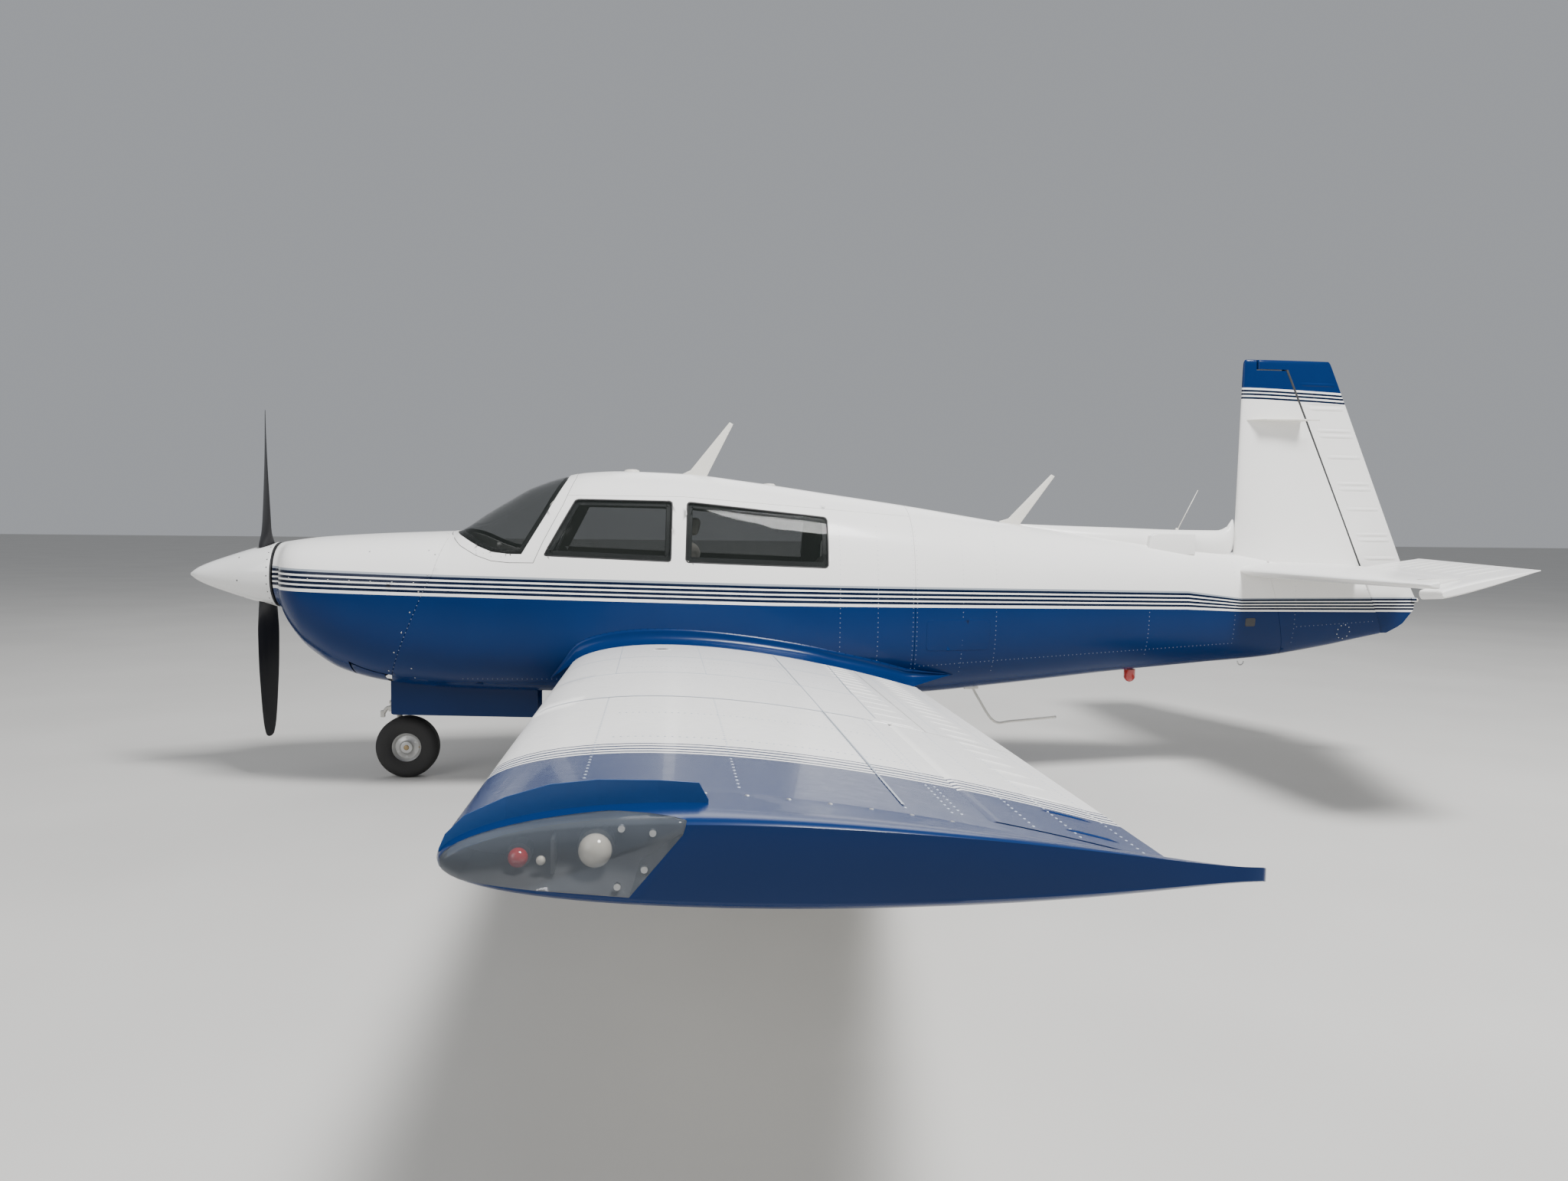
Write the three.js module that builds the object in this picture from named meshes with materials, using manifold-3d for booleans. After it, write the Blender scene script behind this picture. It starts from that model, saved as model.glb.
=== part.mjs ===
// Four-seat low-wing light aircraft, parked on its retractable tricycle gear.
// Units are millimetres. X runs aft, Y to the aircraft's right, Z up from the ground.
// Lengths along the body are stations: millimetres aft of the spinner's tip.
import * as THREE from "three";
import { mergeVertices } from "three/addons/utils/BufferGeometryUtils.js";
import Module from "manifold-3d";

const wasm = await Module();
wasm.setup();

// Driving dimensions of the whole aircraft
const LENGTH = 7520;
const HALF_SPAN = 5500;
const SEAM = 0.4; // paper-thin joint between panels that touch
const MOVING_GAP = 8; // running clearance round a moving panel
const FLATNESS = 0.15; // faces that lie this close to one plane become one

// Propeller and spinner
const PROP = { station: 425, height: 1187, radius: 940, shank: 52 };
const SPINNER = { base: 492, radius: 186 };

// Walls
const COWL_WALL = 8;
const CABIN_WALL = 22;
const TAIL_WALL = 8;

// Wheels: diameter, width and where the axle is
const MAIN_WHEEL = { diameter: 444.5, width: 160, station: 3031, side: 1395 };
const NOSE_WHEEL = { diameter: 361, width: 127, station: 1203 };

// Body sections. Columns: station, bottom, top, half width, height of the widest line,
// roundness above that line and below it (2 is an ellipse, more is boxier).
const BODY_SECTIONS = [
  [510, 1004, 1368, 200, 1188, 2.2, 2.1],
  [530, 988, 1376, 209, 1182, 2.3, 2.2],
  [560, 950, 1381, 248, 1175, 2.4, 2.2],
  [580, 920, 1384, 306, 1171, 2.4, 2.2],
  [600, 888, 1387, 347, 1167, 2.5, 2.2],
  [660, 812, 1396, 412, 1155, 2.6, 2.3],
  [720, 752, 1404, 450, 1142, 2.6, 2.4],
  [900, 643, 1419, 508, 1112, 2.6, 2.6],
  [1140, 587, 1433, 548, 1082, 2.7, 3.0],
  [1420, 556, 1445, 577, 1055, 2.8, 3.1],
  [1560, 548, 1456, 582, 1045, 2.8, 3.2],
  [1680, 543, 1552, 584, 1035, 2.4, 3.2],
  [1800, 538, 1628, 585, 1025, 2.3, 3.2],
  [1940, 534, 1708, 586, 1015, 2.3, 3.2],
  [2130, 528, 1772, 587, 1000, 2.6, 3.2],
  [2260, 524, 1796, 587, 990, 2.75, 3.2],
  [2450, 518, 1806, 586, 985, 2.8, 3.2],
  [2800, 508, 1797, 584, 985, 2.8, 3.2],
  [3200, 500, 1755, 575, 990, 2.7, 3.2],
  [3650, 492, 1694, 552, 1000, 2.6, 3.0],
  [4120, 496, 1630, 498, 1020, 2.5, 2.8],
  [4760, 545, 1532, 400, 1050, 2.4, 2.6],
  [5450, 616, 1440, 290, 1060, 2.3, 2.5],
  [6050, 668, 1370, 195, 1060, 2.2, 2.4],
  [6450, 702, 1325, 138, 1050, 2.2, 2.3],
  [6850, 765, 1275, 95, 1040, 2.2, 2.2],
  [7150, 826, 1225, 62, 1030, 2.2, 2.2],
  [7270, 850, 1190, 48, 1025, 2.2, 2.2],
];
const RING_POINTS = 24;

// Joints between body panels, as lines of [station, height]
const COWL_BACK = [[1120, 500], [1222, 682], [1410, 1124], [1455, 1214], [1512, 1432], [1530, 1560]];
const COWL_SPLIT = 1170;
const BELLY_TOP = 620;
const WALL_FRONT = 1945;
const WALL_FRONT_TOP = 1322;
const ROOF_EDGE = [[1500, 1655], [2800, 1655], [4200, 1554]];
const CABIN_BACK = 4120;

// Glass outlines in the side view, as corners of [station, height]
const WINDSHIELD = [[1530, 1452], [1765, 1341], [1925, 1330], [2150, 1745], [2172, 1850], [1480, 1850]];
const FRONT_WINDOW = [[2040, 1320], [2209, 1636], [2744, 1631], [2736, 1292]];
const REAR_WINDOW = [[2822, 1629], [3618, 1551], [3613, 1262], [2812, 1289]];
const CORNER_RADIUS = 28;

// Doors on the right side, as corners of [station, height]
const CABIN_DOOR = [[1995, 900], [1995, 1295], [2160, 1646], [2776, 1646], [2776, 900]];
const DOOR_GAP = 12;
const BAGGAGE_DOOR = [[3715, 1040], [3715, 1418], [4085, 1418], [4085, 1040]];

// Inner floor, firewall and wheel bay
const FLOOR = { height: 700, thickness: 12 };
const FIREWALL = { station: 1540, thickness: 6 };
const NOSE_BAY = { front: 1085, back: 1975, half: 118, top: 800, wall: 4 };
const ENGINE = { front: 722, back: FIREWALL.station - SEAM, half: 300, bottom: 915, top: 1318 };

// Wing: leading and trailing edges are straight lines of the distance from the centre line
const WING = {
  root: 250, aileronEnd: 5300,
  frontAt0: 2162, frontSlope: 0.047,
  backAt0: 4190, backSlope: -0.14,
  frontHeight: 661, frontRise: 0.0817,
  backHeight: 547, backRise: 0.088,
  rootThickness: 0.15, tipThickness: 0.12,
  flapStart: 640, flapEnd: 3820, hinge: 0.74,
};
const WHEEL_WELL = { radius: 245, side: 800, legHalf: 70, depthTop: 745 };

// Tail: stations against the distance from the centre line, or against height
const STABILIZER = {
  height: 1250, half: 1790, hornStart: 1620, hornFront: 6375, elevatorStart: 160,
  frontAt0: 6238, frontSlope: 0.041,
  backAt0: 7462, backSlope: -0.318,
  hingeAt0: 7100, hingeSlope: -0.296,
  rootThickness: 105, tipThickness: 48,
};
const ELEVATOR_DROOP = 14; // degrees, trailing edge down, as it hangs when parked
const RUDDER = { hingeTop: 6577, top: 2503, slope: 0.436, bottom: 850, horn: 6370, noseRadius: 30, light: 1064 };

// Vertical tail sections. Columns: height, front, back, thickness.
const FIN_SECTIONS = [
  [853, 6900, 7310, 62],
  [905, 6500, 7412, 88],
  [1000, 6300, 7488, 104],
  [1070, 6260, 7500, 108],
  [1216, 6258, 7425, 110],
  [1573, 6267, 7274, 100],
  [2470, 6284, 6895, 62],
  [2562, 6287, 6856, 52],
];

// Fin fillet along the top of the tail. Columns: station, top, half width.
const DORSAL_SECTIONS = [
  [4860, 1524, 14],
  [5100, 1517, 62],
  [5500, 1508, 88],
  [5900, 1498, 82],
  [6150, 1497, 62],
  [6215, 1520, 44],
  [6248, 1568, 30],
];

// Colours
const PAINT = {
  white: { color: 0xeeeeea, roughness: 0.28, metalness: 0 },
  blue: { color: 0x0b3f86, roughness: 0.25, metalness: 0 },
  glass: { color: 0x9fb4c0, roughness: 0.05, metalness: 0 },
  black: { color: 0x1a1a1c, roughness: 0.7, metalness: 0 },
  rubber: { color: 0x202022, roughness: 0.9, metalness: 0 },
  metal: { color: 0xb8bcc0, roughness: 0.4, metalness: 1 },
  iron: { color: 0x55585a, roughness: 0.6, metalness: 0.8 },
  cloth: { color: 0xb9b2a6, roughness: 0.9, metalness: 0 },
};

// Helpers: every shape is made in stations, so X is moved once, when a mesh is made
const X_OF_STATION_0 = -LENGTH / 2;
const degrees = THREE.MathUtils.degToRad;

function solidOf(geometry) {
  const bare = new THREE.BufferGeometry();
  bare.setAttribute("position", geometry.getAttribute("position"));
  bare.setIndex(geometry.index);
  const merged = mergeVertices(bare, 1e-3);
  const vertProperties = merged.getAttribute("position").array;
  const faces = new Uint32Array(merged.index.array);
  const made = new wasm.Manifold(new wasm.Mesh({ numProp: 3, vertProperties, triVerts: faces }));
  if (made.volume() > 0) return made;
  const turned = faces.map((_, i) => faces[i - (i % 3) + [0, 2, 1][i % 3]]);
  return new wasm.Manifold(new wasm.Mesh({ numProp: 3, vertProperties, triVerts: turned }));
}

function geometryOf(solid) {
  const { vertProperties, triVerts, numProp } = solid.getMesh();
  const geometry = new THREE.BufferGeometry();
  const positions = new Float32Array((vertProperties.length / numProp) * 3);
  for (let i = 0; i < positions.length; i += 3)
    positions.set(vertProperties.subarray((i / 3) * numProp, (i / 3) * numProp + 3), i);
  geometry.setAttribute("position", new THREE.BufferAttribute(positions, 3));
  geometry.setIndex(new THREE.BufferAttribute(new Uint32Array(triVerts), 1));
  return geometry.toNonIndexed();
}

function piece(parent, name, solid, paint) {
  const geometry = geometryOf(solid.simplify(FLATNESS)).translate(X_OF_STATION_0, 0, 0);
  geometry.computeVertexNormals();
  const mesh = new THREE.Mesh(geometry, new THREE.MeshStandardMaterial(paint));
  mesh.name = name;
  parent.add(mesh);
  return mesh;
}

// One closed skin through rings of points that all have the same count
function skin(rings) {
  const count = rings[0].length;
  const index = [];
  for (let r = 0; r < rings.length - 1; r++)
    for (let i = 0; i < count; i++) {
      const a = r * count + i;
      const b = r * count + ((i + 1) % count);
      index.push(a, b, b + count, a, b + count, a + count);
    }
  rings.forEach((ring, r) => {
    if (r > 0 && r < rings.length - 1) return;
    const normal = new THREE.Vector3();
    ring.forEach((p, i) => normal.add(new THREE.Vector3(...p).cross(new THREE.Vector3(...ring[(i + 1) % count]))));
    const [u, v] = Math.abs(normal.x) > Math.max(Math.abs(normal.y), Math.abs(normal.z)) ? [1, 2]
      : Math.abs(normal.y) > Math.abs(normal.z) ? [2, 0] : [0, 1];
    const outline = ring.map((p) => new THREE.Vector2(p[u], p[v]));
    const ringTurns = Math.sign(THREE.ShapeUtils.area(outline));
    for (const face of THREE.ShapeUtils.triangulateShape(outline, [])) {
      const turns = Math.sign(THREE.ShapeUtils.area(face.map((k) => outline[k])));
      const follows = turns === ringTurns;
      const wanted = r > 0;
      const [a, b, c] = face.map((k) => k + r * count);
      index.push(...(follows === wanted ? [a, b, c] : [a, c, b]));
    }
  });
  const geometry = new THREE.BufferGeometry();
  geometry.setAttribute("position", new THREE.Float32BufferAttribute(rings.flat(2), 3));
  geometry.setIndex(index);
  return solidOf(geometry);
}

// A straight prism on an outline: along "x" the outline is [y, z], along "y" [station, z],
// along "z" [station, y]
const PRISM_AXES = {
  x: [new THREE.Vector3(0, 1, 0), new THREE.Vector3(0, 0, 1), new THREE.Vector3(1, 0, 0)],
  y: [new THREE.Vector3(1, 0, 0), new THREE.Vector3(0, 0, 1), new THREE.Vector3(0, 1, 0)],
  z: [new THREE.Vector3(1, 0, 0), new THREE.Vector3(0, 1, 0), new THREE.Vector3(0, 0, 1)],
};
function prism(along, outline, from, to) {
  const shape = Array.isArray(outline) ? new THREE.Shape(outline.map(([u, v]) => new THREE.Vector2(u, v))) : outline;
  const geometry = new THREE.ExtrudeGeometry(shape, { depth: to - from, bevelEnabled: false, curveSegments: 3 });
  geometry.translate(0, 0, from);
  geometry.applyMatrix4(new THREE.Matrix4().makeBasis(...PRISM_AXES[along]));
  return solidOf(geometry);
}
const box = (s0, s1, y0, y1, z0, z1) => prism("z", [[s0, y0], [s1, y0], [s1, y1], [s0, y1]], z0, z1);

// A round bar or cone between two points
function bar(from, to, radius, endRadius = radius, sides = 16) {
  const a = new THREE.Vector3(...from);
  const b = new THREE.Vector3(...to);
  const geometry = new THREE.CylinderGeometry(endRadius, radius, a.distanceTo(b), sides);
  const turn = new THREE.Quaternion().setFromUnitVectors(new THREE.Vector3(0, 1, 0), b.clone().sub(a).normalize());
  geometry.applyQuaternion(turn);
  const middle = a.add(b).multiplyScalar(0.5);
  return solidOf(geometry.translate(middle.x, middle.y, middle.z));
}

// The outline moved outwards by a distance (inwards when negative), corners kept sharp
function grown(corners, distance) {
  const turns = Math.sign(THREE.ShapeUtils.area(corners.map(([u, v]) => new THREE.Vector2(u, v))));
  return corners.map((corner, i) => {
    const before = corners[(i + corners.length - 1) % corners.length];
    const after = corners[(i + 1) % corners.length];
    const normals = [[before, corner], [corner, after]].map(([p, q]) => {
      const length = Math.hypot(q[0] - p[0], q[1] - p[1]);
      return [(turns * (q[1] - p[1])) / length, (-turns * (q[0] - p[0])) / length];
    });
    const [[a, b], [c, d]] = normals;
    const scale = distance / (1 + a * c + b * d);
    return [corner[0] + (a + c) * scale, corner[1] + (b + d) * scale];
  });
}

// The outline with each corner rounded
function rounded(corners, radius) {
  const shape = new THREE.Shape();
  corners.forEach((corner, i) => {
    const before = corners[(i + corners.length - 1) % corners.length];
    const after = corners[(i + 1) % corners.length];
    const towards = ([u, v]) => {
      const length = Math.hypot(u - corner[0], v - corner[1]);
      const cut = Math.min(radius, length / 2.2);
      return [corner[0] + ((u - corner[0]) * cut) / length, corner[1] + ((v - corner[1]) * cut) / length];
    };
    const start = towards(before);
    const end = towards(after);
    if (i) shape.lineTo(...start);
    else shape.moveTo(...start);
    shape.quadraticCurveTo(...corner, ...end);
  });
  shape.closePath();
  return shape;
}

const join = (...solids) => solids.reduce((sum, solid) => sum.add(solid));
const cut = (solid, ...tools) => tools.reduce((left, tool) => left.subtract(tool), solid);
const shared = (...solids) => solids.reduce((both, solid) => both.intersect(solid));
const aircraft = new THREE.Group();
const BOTH_SIDES = [["left", -1], ["right", 1]];

// Hinges: a lug on the fixed part turns round a pin that the moving part holds. The lug stands
// in a slot of a control surface, or between two straps of a door.
const PIN = { radius: 5, lug: 10, half: 4, room: 10, sides: 8 };
const boreFor = (radius, sides) => (radius + SEAM) / Math.cos(Math.PI / sides); // clear of a turning faceted pin
function disc(centre, axis, half, radius) {
  const step = axis.clone().multiplyScalar(half);
  return bar(centre.clone().sub(step).toArray(), centre.clone().add(step).toArray(), radius, radius, PIN.sides);
}
const rod = (from, to, axis, half, radius, endRadius = radius) =>
  wasm.Manifold.hull([disc(from, axis, half, radius), disc(from.clone().add(to), axis, half, endRadius)]);
function hinge(at, direction, toFixed, toMoving = [1, 0, 0], size = 1) {
  const point = new THREE.Vector3(...at);
  const axis = new THREE.Vector3(...direction).normalize();
  const [fixed, moving] = [toFixed, toMoving].map((reach) => new THREE.Vector3(...reach));
  const pin = disc(point, axis, 24 * size, PIN.radius * size);
  const straps = [-1, 1].map((end) => rod(point.clone().addScaledVector(axis, end * 16 * size), moving, axis, 6 * size, 9 * size, 5 * size));
  return {
    lug: cut(rod(point, fixed, axis, PIN.half, PIN.lug * size, PIN.lug * size * 0.7), disc(point, axis, 40, boreFor(PIN.radius * size, PIN.sides))),
    slot: rod(point, fixed.clone().setLength(60), axis, PIN.room, PIN.lug + 7, 60),
    notch: rod(point, fixed, axis, PIN.room, PIN.lug * size + 5.5),
    pin,
    straps: join(pin, ...straps),
  };
}

// Body: sections read from the table, straight between its stations
function bodySection(station) {
  const next = Math.max(1, BODY_SECTIONS.findIndex((row) => row[0] >= station));
  const [a, b] = [BODY_SECTIONS[next - 1], BODY_SECTIONS[next]];
  const share = (station - a[0]) / (b[0] - a[0]);
  return a.map((value, column) => value + (b[column] - value) * share);
}

function bodyRing(station, inset) {
  const [, bottom, top, half, widest, upper, lower] = bodySection(station);
  return Array.from({ length: RING_POINTS }, (_, i) => {
    const angle = (i / RING_POINTS) * 2 * Math.PI;
    const [c, s] = [Math.cos(angle), Math.sin(angle)];
    const power = 2 / (s > 0 ? upper : lower);
    const reach = s > 0 ? top - widest : widest - bottom;
    const y = Math.sign(c) * Math.abs(c) ** power * (half - inset);
    return [station, y, widest + Math.sign(s) * Math.abs(s) ** power * (reach - inset)];
  });
}

function body(inset, from = BODY_SECTIONS[0][0], to = BODY_SECTIONS.at(-1)[0]) {
  const inner = BODY_SECTIONS.map((row) => row[0]).filter((station) => station > from + 1 && station < to - 1);
  return skin([from, ...inner, to].map((station) => bodyRing(station, inset)));
}

const bodyOutside = body(0);
const bodyClear = body(-SEAM);
const cabinInside = body(CABIN_WALL);
const cabinLining = body(CABIN_WALL + SEAM);
const cowlInside = body(COWL_WALL, BODY_SECTIONS[0][0] + COWL_WALL);
const tailInside = body(TAIL_WALL, BODY_SECTIONS[0][0], 7080);
const cabinShell = cut(bodyOutside, cabinInside);
const WIDE = 700;
const LOW = 300;
const HIGH = 2000;
const across = (outline) => prism("y", outline, -WIDE, WIDE);
const ahead = (line) => across([[300, LOW], ...line, [300, HIGH]]);
const behind = (line) => across([[CABIN_BACK, LOW], ...line, [CABIN_BACK, HIGH]]);
const shifted = (line, distance) => line.map(([s, z]) => [s + distance, z]);
const noseBayOpening = box(NOSE_BAY.front, NOSE_BAY.back, -NOSE_BAY.half, NOSE_BAY.half, LOW, NOSE_BAY.top);

// Nose: spinner, propeller and engine
const nose = new THREE.Group();
aircraft.add(nose);

const SPINNER_PROFILE = [[0, 0], [12, 14], [45, 38], [110, 68], [218, 107], [340, 147], [SPINNER.base, SPINNER.radius]];
const spinnerOutline = [...SPINNER_PROFILE, [SPINNER.base, 0]].map(([s, r]) => new THREE.Vector2(r, s));
const spinnerSolid = solidOf(new THREE.LatheGeometry(spinnerOutline, 28)
  .rotateZ(-Math.PI / 2).translate(0, 0, PROP.height));
const propAxisPoint = (s, dz = 0) => [s, 0, PROP.height + dz];
const bladeBore = bar(propAxisPoint(PROP.station, -400), propAxisPoint(PROP.station, 400), PROP.shank + 4, PROP.shank + 4, 20);
const rootBore = bar(propAxisPoint(PROP.station, -400), propAxisPoint(PROP.station, 400), PROP.shank + 1, PROP.shank + 1, 20);
const hubBore = bar(propAxisPoint(PROP.station - 75), propAxisPoint(SPINNER.base + 10), 75.5, 75.5, 20);
piece(nose, "spinner", cut(spinnerSolid, bladeBore, hubBore), PAINT.white);

const hub = join(
  bar(propAxisPoint(PROP.station - 74), propAxisPoint(SPINNER.base + 2), 75, 75, 20),
  bar(propAxisPoint(SPINNER.base + SEAM), propAxisPoint(SPINNER.base + 9), SPINNER.radius, SPINNER.radius, 28),
  bar(propAxisPoint(SPINNER.base + 8), propAxisPoint(ENGINE.front - 0.5), 42),
);
piece(nose, "spinner_backplate", cut(hub, rootBore), PAINT.metal);

// Blade sections. Columns: radius, chord, thickness, twist from the plane of rotation in degrees.
const BLADE_SECTIONS = [
  [PROP.shank * 0.04, 104, 104, 44],
  [180, 104, 98, 44],
  [245, 124, 46, 39],
  [340, 142, 27, 34],
  [520, 150, 19, 27],
  [700, 138, 13, 22],
  [850, 112, 9, 19],
  [915, 80, 7, 18],
  [PROP.radius, 40, 5, 18],
];
function blade(up) {
  return skin(BLADE_SECTIONS.map(([radius, chord, thickness, twist]) =>
    Array.from({ length: 16 }, (_, i) => {
      const angle = (i / 16) * 2 * Math.PI;
      const along = (Math.cos(angle) * chord) / 2;
      const out = (Math.sin(angle) * thickness) / 2;
      const [c, s] = [Math.cos(degrees(twist)), Math.sin(degrees(twist))];
      return [PROP.station - along * s + out * c, up * (along * c + out * s), PROP.height + up * radius];
    })));
}
piece(nose, "propeller_blade_upper", blade(1), PAINT.black);
piece(nose, "propeller_blade_lower", blade(-1), PAINT.black);

piece(nose, "engine_block",
  box(ENGINE.front, ENGINE.back, -ENGINE.half, ENGINE.half, ENGINE.bottom, ENGINE.top), PAINT.iron);

// Cowling: two halves split along the stripe, with cheek inlets and flaps under the back edge
const INLET = { side: 252, height: 1188, half: 56, rise: 46 };
const inlets = BOTH_SIDES.map(([, side]) => {
  const ellipse = new THREE.Shape();
  ellipse.absellipse(side * INLET.side, INLET.height, INLET.half, INLET.rise, 0, 2 * Math.PI);
  return prism("x", new THREE.Shape(ellipse.getPoints(18)), 450, 620);
});
const crankHole = bar(propAxisPoint(480), propAxisPoint(560), 60);
const cowlShell = cut(shared(cut(bodyOutside, cowlInside), ahead(shifted(COWL_BACK, -SEAM / 2))), ...inlets, crankHole);
const COWL_FLAP = { front: 985, back: 1216, inner: 150, outer: 400 };
const flapOutline = (side, margin) => {
  const [inner, outer] = [side * (COWL_FLAP.inner - margin), side * (COWL_FLAP.outer + margin)];
  return box(COWL_FLAP.front - margin, COWL_FLAP.back + 3 * margin, Math.min(inner, outer), Math.max(inner, outer), LOW, 900);
};
piece(nose, "cowl_upper", shared(cowlShell, box(0, 2000, -WIDE, WIDE, COWL_SPLIT + SEAM / 2, HIGH)), PAINT.white);
const bodyUnder = (station, y) => {
  const [, bottom, , half, widest, , lower] = bodySection(station);
  return widest - (widest - bottom) * (1 - (Math.abs(y) / half) ** lower) ** (1 / lower);
};
const flapHinges = BOTH_SIDES.map(([, side]) => {
  const [station, y] = [COWL_FLAP.front - 4, side * 275];
  const height = bodyUnder(station, y) - 4;
  const upTo = (reach) => [reach, 0, bodyUnder(station + reach, y) + 3 - height];
  return hinge([station, y, height], [0, 1, 0], upTo(-26), upTo(24), 0.6);
});
piece(nose, "cowl_lower",
  join(cut(shared(cowlShell, box(0, 2000, -WIDE, WIDE, LOW, COWL_SPLIT - SEAM / 2)),
    noseBayOpening, ...BOTH_SIDES.map(([, side]) => flapOutline(side, MOVING_GAP))),
  ...flapHinges.map(({ lug }) => lug)), PAINT.blue);
BOTH_SIDES.forEach(([name, side], i) =>
  piece(nose, "cowl_flap_" + name,
    join(cut(shared(cowlShell, flapOutline(side, 0), ahead(shifted(COWL_BACK, -MOVING_GAP))), flapHinges[i].notch),
      flapHinges[i].straps), PAINT.blue));

// Cabin: forward skins, side walls, roof and belly, with the windows and doors cut
const cabin = new THREE.Group();
aircraft.add(cabin);
const forwardRegion = join(
  across([[600, BELLY_TOP + SEAM / 2], [WALL_FRONT, BELLY_TOP + SEAM / 2], [WALL_FRONT, WALL_FRONT_TOP], [600, WALL_FRONT_TOP]]),
  across([[600, WALL_FRONT_TOP - 1], [1930, WALL_FRONT_TOP - 1], [1930, HIGH], [600, HIGH]]));
const aboveRoofEdge = (distance) => across([...ROOF_EDGE.map(([s, z]) => [s, z + distance]), [4200, HIGH], [1500, HIGH]]);
const windshieldOpening = across(WINDSHIELD);
const bodyAhead = shared(cabinShell, behind(shifted(COWL_BACK, SEAM / 2)));
piece(cabin, "forward_fuselage", cut(shared(bodyAhead, forwardRegion), windshieldOpening, noseBayOpening), PAINT.white);

const sideWindows = [FRONT_WINDOW, REAR_WINDOW];
const wallRegion = (side) => cut(
  prism("y", [[WALL_FRONT + SEAM, BELLY_TOP + SEAM / 2], [CABIN_BACK - SEAM / 2, BELLY_TOP + SEAM / 2],
    [CABIN_BACK - SEAM / 2, HIGH], [1930 + SEAM, HIGH], [1930 + SEAM, WALL_FRONT_TOP + SEAM], [WALL_FRONT + SEAM, WALL_FRONT_TOP + SEAM]],
  Math.min(side, side * WIDE), Math.max(side, side * WIDE)), aboveRoofEdge(-SEAM / 2), windshieldOpening);
const windowTool = (corners, margin) => rounded(grown(corners, margin), CORNER_RADIUS);
const onSide = (side, outline) => prism("y", outline, Math.min(0, side * WIDE), Math.max(0, side * WIDE));
const rearOpenings = sideWindows.map((corners) => across(windowTool(corners, 0)));
piece(cabin, "cabin_wall_left", cut(shared(cabinShell, wallRegion(-1)), ...rearOpenings), PAINT.white);
const DOOR_AXIS = [1991, 601]; // station and side of the cabin door's hinge pins
const bodySide = (station, z) => {
  const [, , top, half, widest, upper] = bodySection(station);
  return half * (1 - ((z - widest) / (top - widest)) ** upper) ** (1 / upper);
};
const HATCH_AXIS_HEIGHT = 1426;
const hatchAxis = (station) => [station, bodySide(station, HATCH_AXIS_HEIGHT) + 7, HATCH_AXIS_HEIGHT];
const hatchLine = hatchAxis(4010).map((v, i) => v - hatchAxis(3790)[i]);
const doorTool = (margin) => onSide(1, rounded(grown(CABIN_DOOR, margin), 60));
const hatchTool = (margin) => onSide(1, rounded(grown(BAGGAGE_DOOR, margin), 40));
const doorHinges = [1040, 1230].map((z) => {
  const inwards = (reach) => [reach, bodySide(DOOR_AXIS[0] + reach, z) - 10 - DOOR_AXIS[1], 0];
  return hinge([...DOOR_AXIS, z], [0, 0, 1], inwards(-31), inwards(30));
});
const hatchHinges = [3790, 4010].map((station) =>
  hinge(hatchAxis(station), hatchLine, [0, -26, 24], [0, 2, -30]));
piece(cabin, "cabin_wall_right",
  join(cut(shared(cabinShell, wallRegion(1)), across(windowTool(REAR_WINDOW, 0)), doorTool(DOOR_GAP), hatchTool(MOVING_GAP)),
    ...[...doorHinges, ...hatchHinges].map(({ lug }) => lug)), PAINT.white);
piece(cabin, "cabin_door",
  join(cut(shared(cabinShell, doorTool(0)), across(windowTool(FRONT_WINDOW, 0)), ...doorHinges.map(({ notch }) => notch)),
    ...doorHinges.map(({ straps }) => straps)),
  PAINT.white);
piece(cabin, "baggage_door", join(shared(cabinShell, hatchTool(0)), ...hatchHinges.map(({ straps }) => straps)), PAINT.white);
piece(cabin, "cabin_roof",
  cut(shared(cabinShell, aboveRoofEdge(SEAM / 2), box(1930, CABIN_BACK - SEAM / 2, -WIDE, WIDE, 1400, HIGH)), windshieldOpening),
  PAINT.white);
piece(cabin, "belly_skin",
  cut(shared(bodyAhead, box(600, CABIN_BACK - SEAM / 2, -WIDE, WIDE, LOW, BELLY_TOP - SEAM / 2)), noseBayOpening), PAINT.blue);

// Glass: panes held half way into the wall
const pane = (outer, thickness) => cut(body(outer), body(outer + thickness));
const sidePane = pane(9, 4);
piece(cabin, "windshield", shared(pane(7, 5), across(grown(WINDSHIELD, -SEAM))), PAINT.glass);
for (const [name, corners, side] of [
  ["window_front_left", FRONT_WINDOW, -1],
  ["window_rear_left", REAR_WINDOW, -1],
  ["window_rear_right", REAR_WINDOW, 1],
  ["cabin_door_window", FRONT_WINDOW, 1],
]) piece(cabin, name, shared(sidePane, onSide(side, windowTool(corners, -SEAM))), PAINT.glass);

// Inside: floor, firewall, bay for the nose wheel, baggage bulkhead
const bayHole = box(NOSE_BAY.front - 5, NOSE_BAY.back + NOSE_BAY.wall + SEAM,
  -NOSE_BAY.half - NOSE_BAY.wall - SEAM, NOSE_BAY.half + NOSE_BAY.wall + SEAM, LOW, NOSE_BAY.top + NOSE_BAY.wall + SEAM);
piece(cabin, "cabin_floor",
  cut(shared(cabinLining, box(FIREWALL.station + FIREWALL.thickness + SEAM, CABIN_BACK - 6 - SEAM, -WIDE, WIDE,
    FLOOR.height, FLOOR.height + FLOOR.thickness)), bayHole), PAINT.black);
piece(cabin, "firewall",
  cut(shared(cabinLining, box(FIREWALL.station, FIREWALL.station + FIREWALL.thickness, -WIDE, WIDE, BELLY_TOP, HIGH)), bayHole),
  PAINT.metal);
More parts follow.
